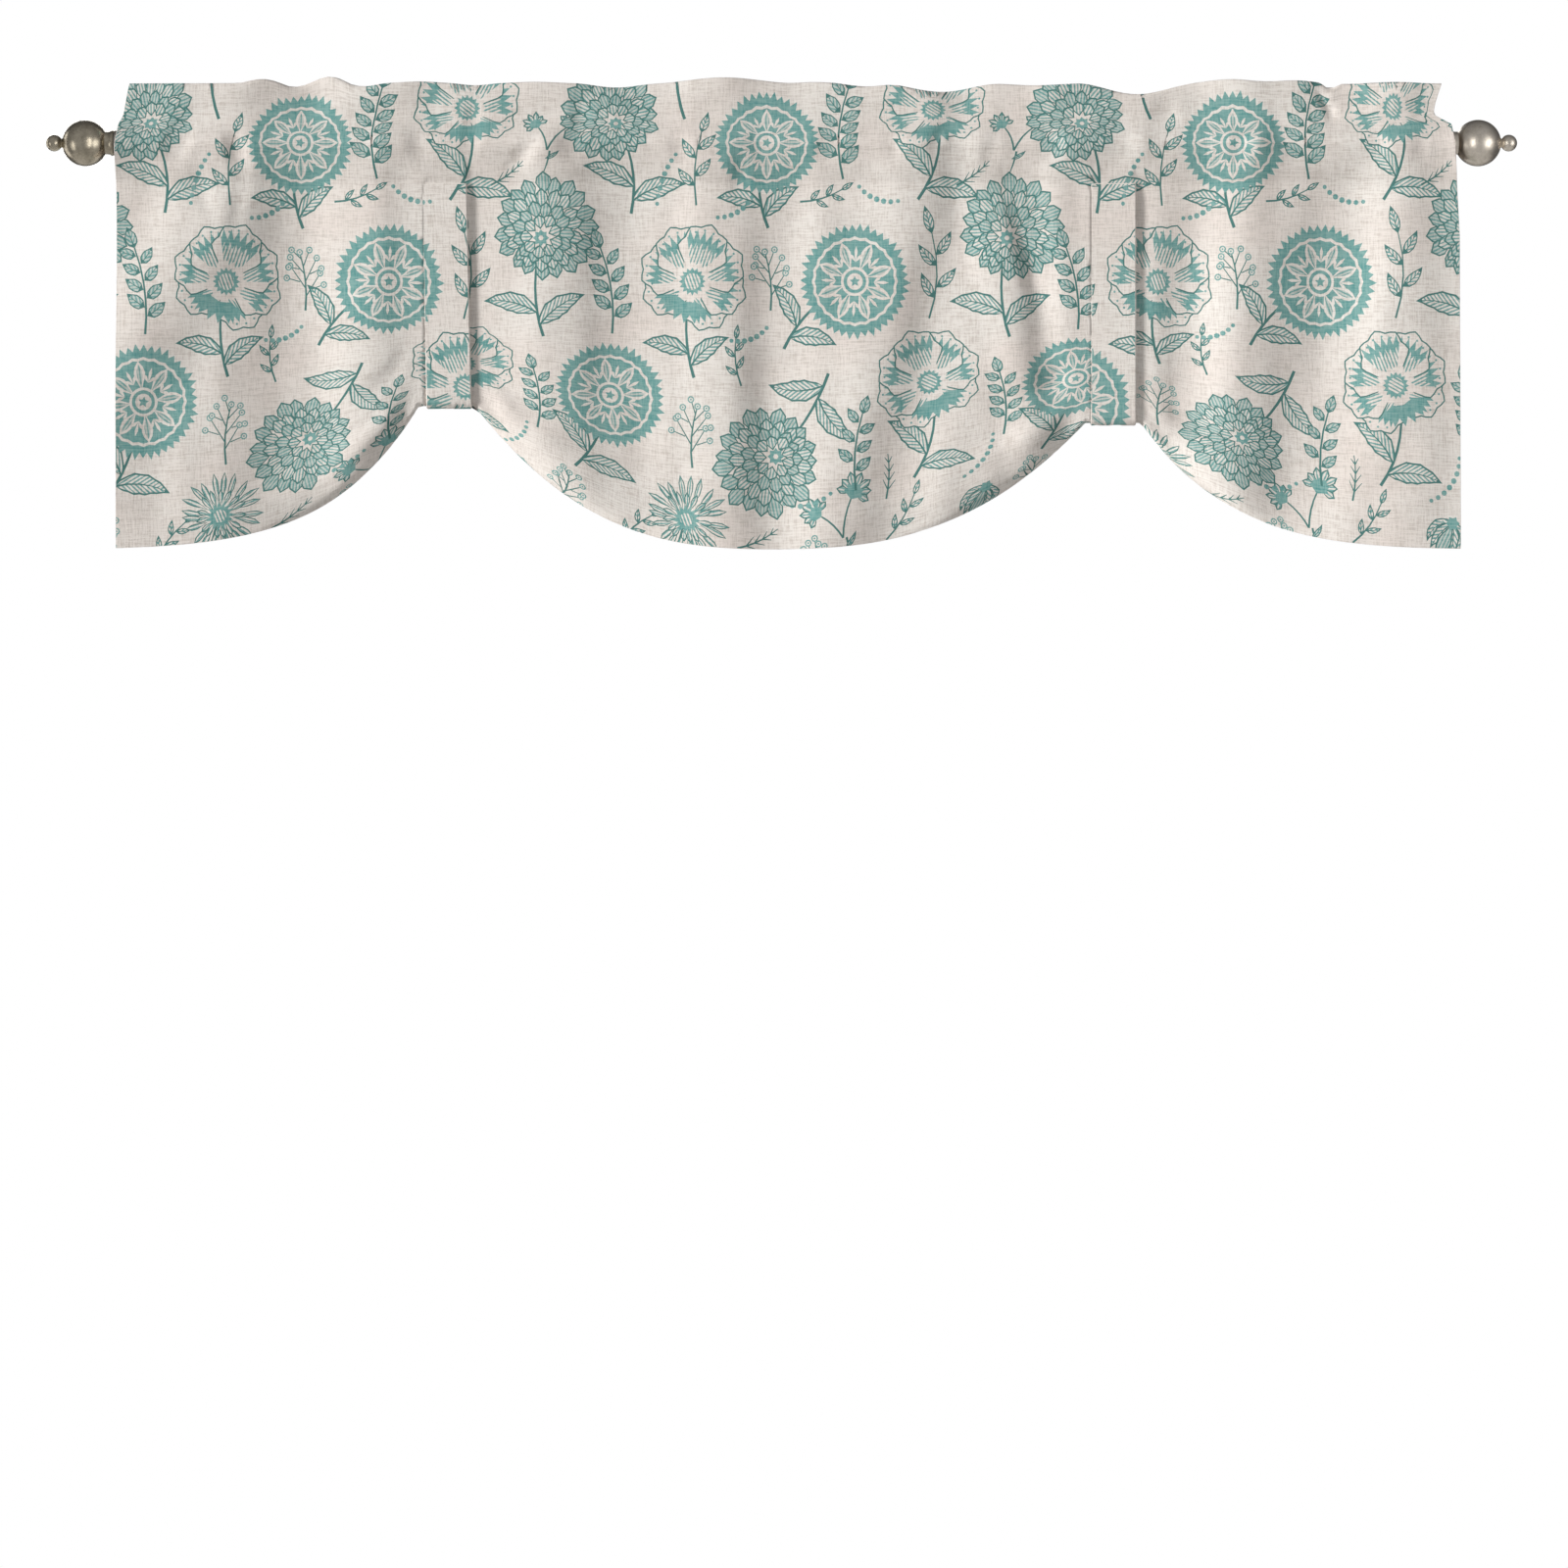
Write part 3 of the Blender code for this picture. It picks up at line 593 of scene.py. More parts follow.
# %% Drawing with complex numbers
Shape = namedtuple("Shape", "points gap line way")
TINT = 0.42                   # ink in the gaps between the fine lines of a shaded shape
DEEP = 1.3                    # ink of outlines and stems, where full ink is 1


def solid(points):
    """A shape in full ink."""
    return Shape(points, 1.0, 1.0, 0.0)


def drawn(points):
    """An outline or a stem, in deeper ink."""
    return Shape(points, DEEP, DEEP, 0.0)


def bare(points):
    """A shape in the ground colour."""
    return Shape(points, 0.0, 0.0, 0.0)


def lined(points, way, gap=0.0, line=1.0):
    """A shape with fine lines that run in one direction, in degrees."""
    return Shape(points, gap, line, way)


def turned(degrees):
    return cmath.exp(1j * math.radians(degrees))


def walk(start, heading, length, bend, steps):
    """Places and headings along a line that starts in one direction and bends evenly."""
    places = [(start, heading)]
    for i in range(steps):
        start += turned(heading + bend * (i + 0.5) / steps) * length / steps
        places.append((start, heading + bend * (i + 1) / steps))
    return places


def stroke(places, start, stop):
    """A drawn line along a walk, whose width runs from start to stop."""
    last = len(places) - 1
    halves = [1j * turned(way) * mix(start, stop, i / last) / 2 for i, (_, way) in enumerate(places)]
    right = [p - half for (p, _), half in zip(places, halves)]
    left = [p + half for (p, _), half in zip(places, halves)]
    return drawn(right + left[::-1])


def ring(at, radius, corners, notch=0.0, heading=0.0):
    """Points round a circle, every other one drawn in by notch."""
    return [at + (radius - notch * (i % 2)) * turned(heading + 360 * i / corners) for i in range(corners)]


def swell(t, widest):
    """Width of a leaf along its length: 0 at both ends and 1 where it is widest."""
    return math.sin(math.pi * t ** (math.log(0.5) / math.log(widest)))


def blade(at, heading, length, width, bend=0.0, widest=0.5, steps=5, teeth=0.0):
    """The outline of a leaf or petal on a curved midrib, with teeth on both edges if wanted."""
    rib = walk(at, heading, length, bend, steps)
    left, right = [], []
    for i, (p, way) in enumerate(rib[1:-1], 1):
        half = width / 2 * swell(i / steps, widest) * (1 + (teeth if i % 2 else -teeth))
        left.append(p + 1j * turned(way) * half)
        right.append(p - 1j * turned(way) * half)
    return [rib[0][0]] + right + [rib[-1][0]] + left[::-1]


# %% [markdown]
# ### Petals, leaves and stems
#
# Each is drawn twice: the outline in deeper ink, and a smaller shape inside it with fine lines. What is
# drawn later covers what was drawn before, as with paper cut-outs. A leaf has a shape on each side of its
# midrib, because its veins slant both ways.

# %% Petals, leaves and stems
def petal(at, heading, length, width, line=1.2, gap=0.0, bend=0.0, widest=0.58, steps=4):
    """A petal with a drawn outline and fine lines along it."""
    yield drawn(blade(at, heading, length, width, bend, widest, steps))
    inside = at + 1.6 * line * turned(heading)
    outline = blade(inside, heading, length - 3.4 * line, width - 2.3 * line, bend, widest, steps)
    yield lined(outline, heading + bend / 2, gap)


def leaf(at, heading, length, width, bend=0.0, teeth=0.0, gap=0.0, line=1.5, steps=7):
    """A leaf with a drawn outline and midrib, and slanting lines on both sides of it."""
    yield drawn(blade(at, heading, length, width, bend, 0.42, steps, teeth))
    rib = walk(at, heading, length, bend, steps)
    parts = max(1, round(abs(bend) / 32))
    for side in (-1, 1):
        edge = []
        for i in range(steps + 1):
            half = max(width / 2 * swell(i / steps, 0.42) - line, 0) * (1 + (teeth if i % 2 else -teeth))
            edge.append(rib[i][0] + side * 1j * turned(rib[i][1]) * half)
        for k in range(parts):
            first, last = steps * k // parts, steps * (k + 1) // parts
            if k == 0:
                first = 1 if steps < 6 else 0
            if k == parts - 1:
                last = steps - 1
            points = [p for p, _ in rib[first:last + 1]] + edge[first:last + 1][::-1]
            way = rib[(first + last) // 2][1] + side * 36
            yield lined(points, way, gap)
    yield stroke(rib[:-1:2] if steps > 6 else rib[:-1], line * 1.1, 0.5)


def stem(at, heading, length, bend=0.0, start=2.6, stop=1.6, steps=7):
    yield stroke(walk(at, heading, length, bend, steps), start, stop)


# %% [markdown]
# ### Flowers
#
# A many-petalled flower is rings of petals, the outer ring first. The wheel flower is discs with notched
# edges on top of each other. The ruffled one is seven lobes whose edge waves in and out.

# %% Large flowers
def mum(at, heading, size):
    """A full flower seen a little from the side, in rings of pointed petals that lie over each other."""
    draw = random.Random(int(size))
    rings = ((1.00, 19, 0.46), (0.80, 17, 0.42), (0.61, 13, 0.36), (0.43, 9, 0.28))
    for k, (reach, count, length) in enumerate(rings):
        centre = at + turned(heading) * size * 0.32 * (reach - 0.7)
        for i in range(count):
            way = 360 * (i + 0.5 * (k % 2)) / count + draw.uniform(-3, 3)
            far = size * reach * (1 + draw.uniform(-0.05, 0.05))
            long = size * length
            wide = math.tau * (far - long * 0.3) / count * 1.10
            root = centre + turned(way) * (far - long)
            yield from petal(root, way, long, wide, 1.15, 0.12 if k % 2 else TINT)
    middle = at - turned(heading) * size * 0.12
    yield solid(ring(middle, size * 0.16, 16, size * 0.05))
    yield bare(ring(middle, size * 0.05, 6))


def wheel(at, heading, size):
    """A round flower with a fringed rim, and eight rays like spokes."""
    draw = random.Random(int(size * 3))
    rim = [at + size * (1.02 + draw.uniform(-0.03, 0.03) if i % 2 else 0.90) * turned(heading + 360 * i / 84)
           for i in range(84)]
    yield solid(rim)
    yield bare(ring(at, size * 0.80, 48, size * 0.03))
    yield solid(ring(at, size * 0.745, 48, size * 0.025))
    for i in range(8):
        way = heading + 45 * i
        aside = way + 22.5
        yield bare(blade(at + turned(way) * size * 0.20, way, size * 0.53, size * 0.21, 0, 0.6, 5))
        ray = blade(at + turned(way) * size * 0.25, way, size * 0.42, size * 0.11, 0, 0.6, 4)
        yield lined(ray, way, TINT)
        between = at + turned(aside) * size * 0.35
        for lean, long in ((-38, 0.17), (0, 0.28), (38, 0.17)):
            yield bare(blade(between, aside + lean, size * long, size * 0.06, 0, 0.6, 3))
    yield bare(ring(at, size * 0.26, 20))
    yield solid(ring(at, size * 0.21, 20))
    yield bare(ring(at, size * 0.15, 14))
    yield solid(ring(at, size * 0.10, 10, size * 0.05, heading))


def peony(at, heading, size):
    """An open flower of seven ruffled lobes with dotted rims, on a ragged cup."""
    lobes = ((-128, 0.86), (128, 0.86), (-86, 0.98), (86, 0.98), (-43, 1.0), (43, 1.0), (0, 1.03))
    for lean, reach in lobes:
        way = heading + lean
        centre = at + turned(way) * size * 0.56 * reach
        for width, make in ((0.0, drawn), (1.5, bare)):
            edge = []
            for i in range(21):
                step = -120 + 12 * i
                ruffle = 1 + 0.075 * math.cos(math.radians(step * 7.5))
                edge.append(centre + turned(way + step) * (size * 0.46 * ruffle - width))
            yield make(edge + [at])
        for i in range(6):
            yield solid(ring(centre + turned(way - 70 + 28 * i) * size * 0.355, 1.3, 5))
        for near, far, make in ((0.72, 0.90, solid), (0.56, 0.68, bare)):
            edge = [at + turned(way + (-27 + 4.5 * i)) * size * reach * (far if i % 2 else near)
                    for i in range(13)]
            yield lined([at] + edge, way) if make is bare else make([at] + edge)
    cup = [at + turned(heading + 134 + 7.67 * i) * size * (0.76 if i % 2 else 0.60) for i in range(13)]
    yield solid(cup + [at + turned(heading + 180 + step) * size * 0.38 for step in (34, 0, -34)])
    yield bare(ring(at, size * 0.38, 32, size * 0.09))
    yield solid(ring(at, size * 0.25, 32, size * 0.06))
    yield lined(ring(at, size * 0.15, 14), heading + 40)


def aster(at, heading, size):
    """A ragged flower of many narrow petals."""
    draw = random.Random(11)
    for count, near, far, wide in ((21, 0.30, 1.0, 0.15), (15, 0.20, 0.66, 0.14)):
        for i in range(count):
            way = heading + 360 * i / count + draw.uniform(-5, 5)
            long = size * (far - near) * draw.uniform(0.80, 1.0)
            long *= 1 + 0.15 * math.cos(math.radians(way - heading))
            root = at + turned(way) * size * near
            yield from petal(root, way, long, size * wide, 1.0, 0.0, draw.uniform(-16, 16), 0.62)
    yield solid(ring(at, size * 0.34, 30, size * 0.12))
    yield lined(ring(at, size * 0.15, 12), heading + 45, 1.0, 0.0)


# %% Small flowers
def daisy(at, heading, size):
    """A small flower from the side: a fan of petals on a ragged cup."""
    for lean in (-100, 100, -66, 66, -34, 34, 0):
        long = size * (1.0 if abs(lean) < 40 else 0.88)
        yield from petal(at, heading + lean, long, size * 0.42, 1.1, 0.10, 0, 0.66)
    cup = [at + turned(heading + step) * size * (0.50 if i % 2 else 0.36)
           for i, step in enumerate(range(-120, 121, 20))]
    yield solid([at - turned(heading) * size * 0.36] + cup)


def twins(at, heading, size):
    """Two small flowers on a forked stalk."""
    yield from stem(at - turned(heading) * size * 1.6, heading - 14, size * 1.6, 16, 0.8, 2.2, 4)
    for lean, length, bend, grow in ((16, 1.5, 30, 0.84), (-14, 1.9, -24, 1.0)):
        stalk = walk(at, heading + lean, size * length, bend, 4)
        yield stroke(stalk, 2.0, 1.6)
        tip, way = stalk[-1]
        yield from daisy(tip + turned(way) * size * 0.3, way, size * grow)
    root = at - turned(heading) * size * 0.5
    yield from leaf(root, heading - 62, size * 0.95, size * 0.26, 30, 0, TINT, 1.0, 5)


def bell_flower(at, heading, size):
    """A hanging flower with one broad petal and four that curl back."""
    for lean, bend, long in ((-78, 96, 1.0), (78, -96, 1.0), (-36, 36, 0.95), (36, -36, 0.95)):
        yield from leaf(at, heading + lean, size * long, size * 0.34, bend, 0.05, 0.0, 1.3, 7)
    yield from petal(at, heading, size * 1.1, size * 0.42, 1.4, TINT, 0, 0.55, 6)
    for lean in (-20, 0, 20):
        yield stroke(walk(at + turned(heading) * size * 0.95, heading + lean, size * 0.4, 0, 1), 1.2, 0.6)
    yield solid(ring(at, size * 0.20, 12, size * 0.06))


# %% Sprays and sprigs
def berries(at, heading, size, bend=24):
    """A sprig with ringed berries."""
    main = walk(at, heading, size, bend, 8)
    yield stroke(main[::2], 2.2, 1.2)
    tips = [main[-1][0]]
    branches = ((2, -1, 0.46), (3, 1, 0.48), (4, -1, 0.44), (5, 1, 0.38), (6, -1, 0.30), (7, 1, 0.24))
    for i, side, reach in branches:
        p, way = main[i]
        branch = walk(p, way + side * 42, size * reach, -side * 18, 3)
        yield stroke(branch[::3], 1.3, 0.9)
        tips.append(branch[-1][0])
        if reach > 0.35:
            q, way = branch[1]
            fork = walk(q, way + side * 36, size * reach * 0.5, 0, 1)
            yield stroke(fork, 1.1, 0.9)
            tips.append(fork[-1][0])
    for p in tips:
        yield solid(ring(p, 3.5, 9))
        yield bare(ring(p, 2.2, 7))
        yield solid(ring(p, 1.1, 5))


def spray(at, heading, size, bend=30, pairs=4, gap=TINT):
    """A curved stem with leaves in pairs and one at its tip."""
    main = walk(at, heading, size, bend, 2 * pairs + 2)
    yield stroke(main[::2], 2.4, 1.5)
    for i in range(pairs):
        long = size * (0.27 - 0.012 * i)
        for side in (-1, 1):
            q, way = main[2 * i + 2 + (side > 0)]
            out = way + side * 60
            yield from leaf(q + turned(out) * 1.5, out, long, long * 0.56, -side * 16, 0.05, gap, 1.2, 5)
    p, way = main[-1]
    yield from leaf(p, way, size * 0.26, size * 0.15, 0, 0.05, gap, 1.2, 5)


def fern(at, heading, size, bend=14):
    """A thin twig with short barbs."""
    main = walk(at, heading, size, bend, 10)
    yield stroke(main[::2], 2.0, 0.9)
    for i in range(2, 10, 2):
        p, way = main[i]
        for side in (-1, 1):
            yield stroke(walk(p, way + side * 32, size * (0.30 - 0.018 * i), 0, 1), 1.4, 0.6)


def dots(at, heading, size, bend=40, count=9):
    """An arc of dots, largest at its middle."""
    for i, (p, _) in enumerate(walk(at, heading, size, bend, count - 1)):
        yield solid(ring(p, 1.7 + 1.3 * math.sin(math.pi * (i + 1) / (count + 1)), 7))


def stalk(at, heading, length, bend=24, long=58, spread=46):
    """The stem of a large flower, from the flower outwards, with two long leaves that point back."""
    main = walk(at, heading, length, bend, 8)
    yield stroke(main, 1.8, 3.2)
    for i, side in ((6, 1), (7, -1)):
        if long:
            p, way = main[i]
            yield from leaf(p, way + 180 + side * spread, long, long * 0.37, side * 44, 0.06, 0.0, 1.8, 9)


def twig(at, heading, size, bend=36):
    """A fine stem with outlined leaves on both sides."""
    main = walk(at, heading, size, bend, 8)
    yield stroke(main[::2], 2.0, 1.1)
    for i, side in ((2, 1), (3, -1), (5, 1), (6, -1), (8, 0)):
        p, way = main[i]
        yield from leaf(p, way + side * 52, size * 0.34, size * 0.13, -side * 24, 0, 0.0, 1.1, 5)


# %% [markdown]
# ### The repeat
#
# Every printed cloth repeats. This table fills one repeat: where each motif lies from the repeat's lower
# left corner in millimetres, which way it points in degrees, its size, and what else its function takes.
# The large flowers come last, so they cover the ends of their stems.

# %% Table of the repeat
REPEAT_WIDTH, REPEAT_HEIGHT = 476.0, 500.0
REPEAT = (
    (stalk, 62, 104, 262, 100, -26), (stalk, 226, 48, 40, 104, 30),
    (stalk, 388, 120, 288, 104, -54), (stalk, 146, 222, 254, 96, 34, 50),
    (stalk, 312, 222, 200, 100, 44, 50), (stalk, 470, 270, 252, 108, 36),
    (stalk, 64, 388, 304, 104, -46), (stalk, 222, 360, 248, 88, 46, 48),
    (stalk, 392, 400, 290, 104, -58), (stalk, 140, 486, 246, 100, 46, 0),
    (spray, 313, 16, 98, 76, -26, 3), (spray, 464, 46, 80, 78, 26, 4),
    (spray, 300, 322, 104, 98, -34, 5), (spray, 64, 170, 84, 86, 28, 4),
    (twig, 388, 186, 70, 84, 36), (twig, 150, 296, 98, 76, -24),
    (twig, 256, 300, 0, 44, 30), (berries, 146, 38, 98, 62, -26),
    (berries, 226, 194, 84, 58, 24), (berries, 6, 448, 62, 54, 24),
    (twig, 196, 120, 112, 46, -30), (twins, 474, 352, 78, 18),
    (twins, 300, 470, 104, 21), (fern, 192, 462, 12, 46, 26),
    (fern, 416, 316, 24, 42, 26), (fern, 344, 4, 78, 46, 20),
    (twig, 74, 446, 66, 48, -30), (twig, 344, 462, 40, 50, 30),
    (berries, 262, 424, 84, 44, -22), (dots, 110, 298, 84, 54, -30, 8),
    (dots, 186, 164, 350, 40, 60, 7), (dots, 424, 8, 20, 54, 70, 8),
    (dots, 240, 506, 340, 50, 60, 7), (dots, 172, 284, 0, 42, 60, 7),
    (dots, 356, 300, 190, 44, -60, 7), (bell_flower, 446, 486, 244, 36),
    (wheel, 62, 104, 8, 55), (mum, 226, 48, 216, 54),
    (peony, 388, 120, 112, 54), (peony, 146, 222, 70, 55),
    (wheel, 312, 222, 20, 55), (mum, 470, 270, 66, 53),
    (mum, 64, 388, 128, 52), (wheel, 222, 360, 0, 53),
    (peony, 392, 400, 104, 54), (aster, 140, 486, 66, 44),
)
REPEAT_SHAPES = [shape for draw, x, y, heading, size, *extra in REPEAT
                 for shape in draw(complex(x, y), heading, size, *extra)]
print("shapes in one repeat:", len(REPEAT_SHAPES))

PRINT_LEFT = -34.0            # the repeat starts this far from the cloth's left edge
PRINT_TOP = 425.0             # height in the repeat that lies on the top fold
FINE_SHAPE = 5.0              # square millimetres, below which a shape is left out where nobody looks


def outline_area(points):
    """The area inside an outline, negative where the outline runs clockwise."""
    return sum(p.real * q.imag - q.real * p.imag for p, q in zip(points, points[1:] + points[:1])) / 2


def print_shapes(left, right, top, bottom):
    """The print's shapes that touch a region of the flat cloth, as places a - iv."""
    columns = range(math.floor((left - PRINT_LEFT) / REPEAT_WIDTH) - 1, math.ceil(right / REPEAT_WIDTH) + 1)
    rows = range(-math.ceil(bottom / REPEAT_HEIGHT) - 1, math.ceil(-top / REPEAT_HEIGHT) + 2)
    for column in columns:
        for row in rows:
            shift = complex(PRINT_LEFT + column * REPEAT_WIDTH, row * REPEAT_HEIGHT - PRINT_TOP)
            for shape in REPEAT_SHAPES:
                points = [p + shift for p in shape.points]
                a, w = [p.real for p in points], [p.imag for p in points]
                touches = max(a) > left and min(a) < right and max(w) > -bottom and min(w) < -top
                behind = min(w) > 0 and abs(outline_area(points)) < FINE_SHAPE
                if touches and not behind:
                    yield shape._replace(points=points)

# %% [markdown]
# ## Cutting the print into the cloth
#
# A constrained Delaunay triangulation takes outlines and loose points, and fills a region with triangles
# that respect every outline. It is the flat equivalent of a knife: after it, each triangle lies wholly
# inside or outside each motif, so it can simply be told which ink it carries. The edge of the print then
# stays sharp however near the camera comes.
#
# Loose points in rows give the cloth enough corners to bend at: close together over the top fold and
# round the turned hem, wider where the skirt hangs plain.

# %% Cutting a flat region
CLOSE = 4.0                   # a loose point nearer than this to an outline's corner isn't needed


def even(low, high, step):
    """Evenly spaced values strictly between low and high."""
    count = max(1, round((high - low) / step))
    return [low + (high - low) * i / count for i in range(1, count)]


def grid(rows, columns):
    """Flat places where some rows cross some columns."""
    return [complex(a, -v) for v in rows for a in columns]


def thin_out(points, corners):
    """Loose points that no outline's corner lies close to."""
    taken = {(round(p.real / CLOSE), round(p.imag / CLOSE)) for p in corners}
    return [p for p in points if (round(p.real / CLOSE), round(p.imag / CLOSE)) not in taken]


def cut_flat(border, seams, loose, shapes):
    """Triangles of a flat region, and the print on each. Places are complex numbers a - iv."""
    coords, faces, inks = list(border), [list(range(len(border)))], [(0.0, 0.0, 0.0)]
    for shape in shapes:
        faces.append(list(range(len(coords), len(coords) + len(shape.points))))
        coords += shape.points if outline_area(shape.points) > 0 else shape.points[::-1]
        inks.append((shape.gap, shape.line, math.radians(shape.way)))
    corners = coords[len(border):]
    edges = []
    for line in seams:
        edges += [(len(coords) + i, len(coords) + i + 1) for i in range(len(line) - 1)]
        coords += line
    coords += thin_out(loose, corners)
    places, _, triangles, _, _, origins = delaunay_2d_cdt(
        [Vector((p.real, p.imag)) for p in coords], edges, faces, 0, 0.005, True)
    kept = [(t, inks[max(o)]) for t, o in zip(triangles, origins) if 0 in o and len(t) == 3]
    used = sorted({i for t, _ in kept for i in t})
    number = {old: new for new, old in enumerate(used)}
    flat = np.array([(places[i].x, -places[i].y) for i in used])
    return flat, [tuple(number[i] for i in t) for t, _ in kept], [ink for _, ink in kept]


def border_loop(triangles):
    """The vertices round the edge of the triangles, in order."""
    sides = {pair for t in triangles for pair in zip(t, t[1:] + t[:1])}
    after = {p: q for p, q in sorted(sides) if (q, p) not in sides}
    loop = [next(iter(after))]
    while after[loop[-1]] != loop[0]:
        loop.append(after[loop[-1]])
    return loop


# %% [markdown]
# ### One thin sheet with two sides
#
# The printed side is cut fine. The reverse has no print, so it is cut coarsely, from the same border,
# and lies one cloth's thickness behind. A row of places halfway between the two, set slightly outwards,
# rounds the edge. The normals are taken from the smooth surface and not from the triangles, so slivers
# beside an outline don't show in the shading.

# %% Building the sheet
RIM_STEP = 4.0                # from one corner to the next along the edge of a sheet


def sheet_mesh(name, places, normals, flats, faces, inks):
    """A mesh with given normals, the print on its faces and the flat cloth as its UV map."""
    mesh = bpy.data.meshes.new(name)
    mesh.from_pydata(places.tolist(), [], faces)
    values = np.zeros((len(faces), 3), dtype=np.float32)
    values[:len(inks)] = inks
    mesh.attributes.new("print", "FLOAT_VECTOR", "FACE").data.foreach_set("vector", values.ravel())
    corners = np.empty(len(mesh.loops), dtype=np.int32)
    mesh.loops.foreach_get("vertex_index", corners)
    uv = mesh.uv_layers.new(name="FlatCloth")
    uv.uv.foreach_set("vector", (flats[corners] * MM).astype(np.float32).ravel())
    mesh.shade_smooth()
    mesh.normals_split_custom_set_from_vertices(normals.tolist())
    mesh.update()
    return mesh


def build_sheet(name, hung, seams, loose, shapes, coarse, thickness, bulge):
    """A closed thin piece of cloth on a hung surface, printed on its front."""
    left, right = hung.left, hung.left + hung.width
    top, bottom = hung.top, hung.top + hung.length
    sides = [complex(left, -bottom), complex(right, -bottom), complex(right, -top), complex(left, -top)]
    frame_line = []
    for corner, following in zip(sides, sides[1:] + sides[:1]):
        span = abs(following - corner)
        frame_line += [corner + (following - corner) * d / span for d in [0.0] + even(0, span, RIM_STEP)]
    flat, tris, inks = cut_flat(frame_line, seams, loose, shapes)
    rim = border_loop(tris)
    rim_line = [complex(flat[i, 0], -flat[i, 1]) for i in rim]
    back_flat, back_tris, _ = cut_flat(rim_line, [], coarse, [])
    key = {(round(a, 3), round(v, 3)): i for i, (a, v) in enumerate(back_flat)}
    back_rim = [key[(round(p.real, 3), round(-p.imag, 3))] for p in rim_line]

    front_n, back_n = hung.normal(flat), hung.normal(back_flat)
    front_p = hung.place(flat)
    back_p = hung.place(back_flat) - back_n * thickness(back_flat)[:, None]

    rim_flat = flat[rim]
    middle = np.array([(left + right) / 2, (top + bottom) / 2])
    inward = np.where(np.abs(rim_flat - middle) > np.array([right - left, bottom - top]) / 2 - 0.01,
                      np.sign(middle - rim_flat), 0)
    out = hung.place(rim_flat) - hung.place(rim_flat + inward)
    out /= np.linalg.norm(out, axis=1, keepdims=True)
    edge_p = 0.5 * (front_p[rim] + back_p[back_rim]) + out * bulge

    n_front, n_back, n_rim = len(front_p), len(back_p), len(rim)
    faces = list(tris)
    faces += [tuple(n_front + i for i in t[::-1]) for t in back_tris]
    for i in range(n_rim):
        j = (i + 1) % n_rim
        e_i, e_j = n_front + n_back + i, n_front + n_back + j
        faces.append((rim[j], rim[i], e_i, e_j))
        faces.append((e_j, e_i, n_front + back_rim[i], n_front + back_rim[j]))
    places = np.concatenate([front_p, back_p, edge_p])
    normals = np.concatenate([front_n, -back_n, out + front_n[rim]])
    flats = np.concatenate([flat, back_flat, rim_flat])

    piece = add_object(name, sheet_mesh(name, places, normals, flats, faces, inks))
    print(name, "has", sum(len(f) - 2 for f in faces), "triangles,", len(tris), "of them printed side")
    return piece


# %% The panel's rows of loose points
PANEL_CLOTH = 0.0013          # thickness of the dressed panel
HEM_CLOTH = 0.0009            # its turned-up hem adds this much
PANEL_EDGE = 0.0004           # its edges are rounded outwards by this much
HEM_BAND = 14.0               # depth of the hem that is turned up behind
LOW_ROWS = 350.0              # from here down the rows are close, for the turned hem
TIE_COLUMNS = (-0.0005, 0.0010, 0.0022, 0.0060, 0.0100, 0.0140, 0.0180)   # distances from a tie's edge


def panel_rows():
    """Distances from the top fold at which the front of the panel has a row of points."""
    header = [1.0, 2.0, 3.0, 4.3] + even(4.3, HEADER_LENGTH, 5.5)
    pocket = even(HEADER_LENGTH, SEAM_V, 3.6)
    skirt = even(SEAM_V, LOW_ROWS, 8.0) + [LOW_ROWS] + even(LOW_ROWS, HEM_V, 3.2)
    return header, pocket, skirt


def flat_a(x):
    """How far across the flat cloth a place on the hung cloth lies, in millimetres."""
    return (x - LEFT) / (RIGHT - LEFT) * CUT_WIDTH


def panel_loose():
    """Loose points of the printed side, in rows, and in columns beside the ties."""
    header, pocket, skirt = panel_rows()
    points = []
    for rows, step in ((header + pocket, 8.0), (skirt, 8.0), ([-v for v in header + pocket], 12.0)):
        for k, v in enumerate(rows):
            points += grid([v], even(step / 2 if k % 2 else 0.0, CUT_WIDTH, step))
    for tie in TIES:
        for side in (-1, 1):
            for off in TIE_COLUMNS:
                points += grid(skirt, [flat_a(tie.x + side * (TIE_HALF_WIDTH + off))])
    return points


def panel_seams():
    """Rows that the triangles follow exactly: the top fold and both seams, front and back."""
    rows = ((0, 8.0), (HEADER_LENGTH, 8.0), (SEAM_V, 8.0), (-HEADER_LENGTH, 12.0), (-SEAM_V, 12.0))
    return [grid([v], [0.0] + even(0, CUT_WIDTH, step) + [CUT_WIDTH]) for v, step in rows]


def panel_coarse():
    """Loose points of the reverse."""
    rows = [FLAP_V + 4, -SEAM_V] + even(-SEAM_V, -HEADER_LENGTH, 6) + [-HEADER_LENGTH]
    rows += [-16, -4, -2, 0, 2, 4, 16, HEADER_LENGTH] + even(HEADER_LENGTH, SEAM_V, 6)
    rows += [SEAM_V] + even(SEAM_V, LOW_ROWS, 14) + even(LOW_ROWS, HEM_V - HEM_BAND - 1, 5)
    rows += [HEM_V - HEM_BAND - 1, HEM_V - HEM_BAND + 0.5, HEM_V - 6]
    columns = [8.0, HEM_BAND - 4] + even(HEM_BAND - 4, CUT_WIDTH - HEM_BAND + 4, 11)
    columns += [CUT_WIDTH - HEM_BAND + 4, CUT_WIDTH - 8]
    return grid(rows, columns)


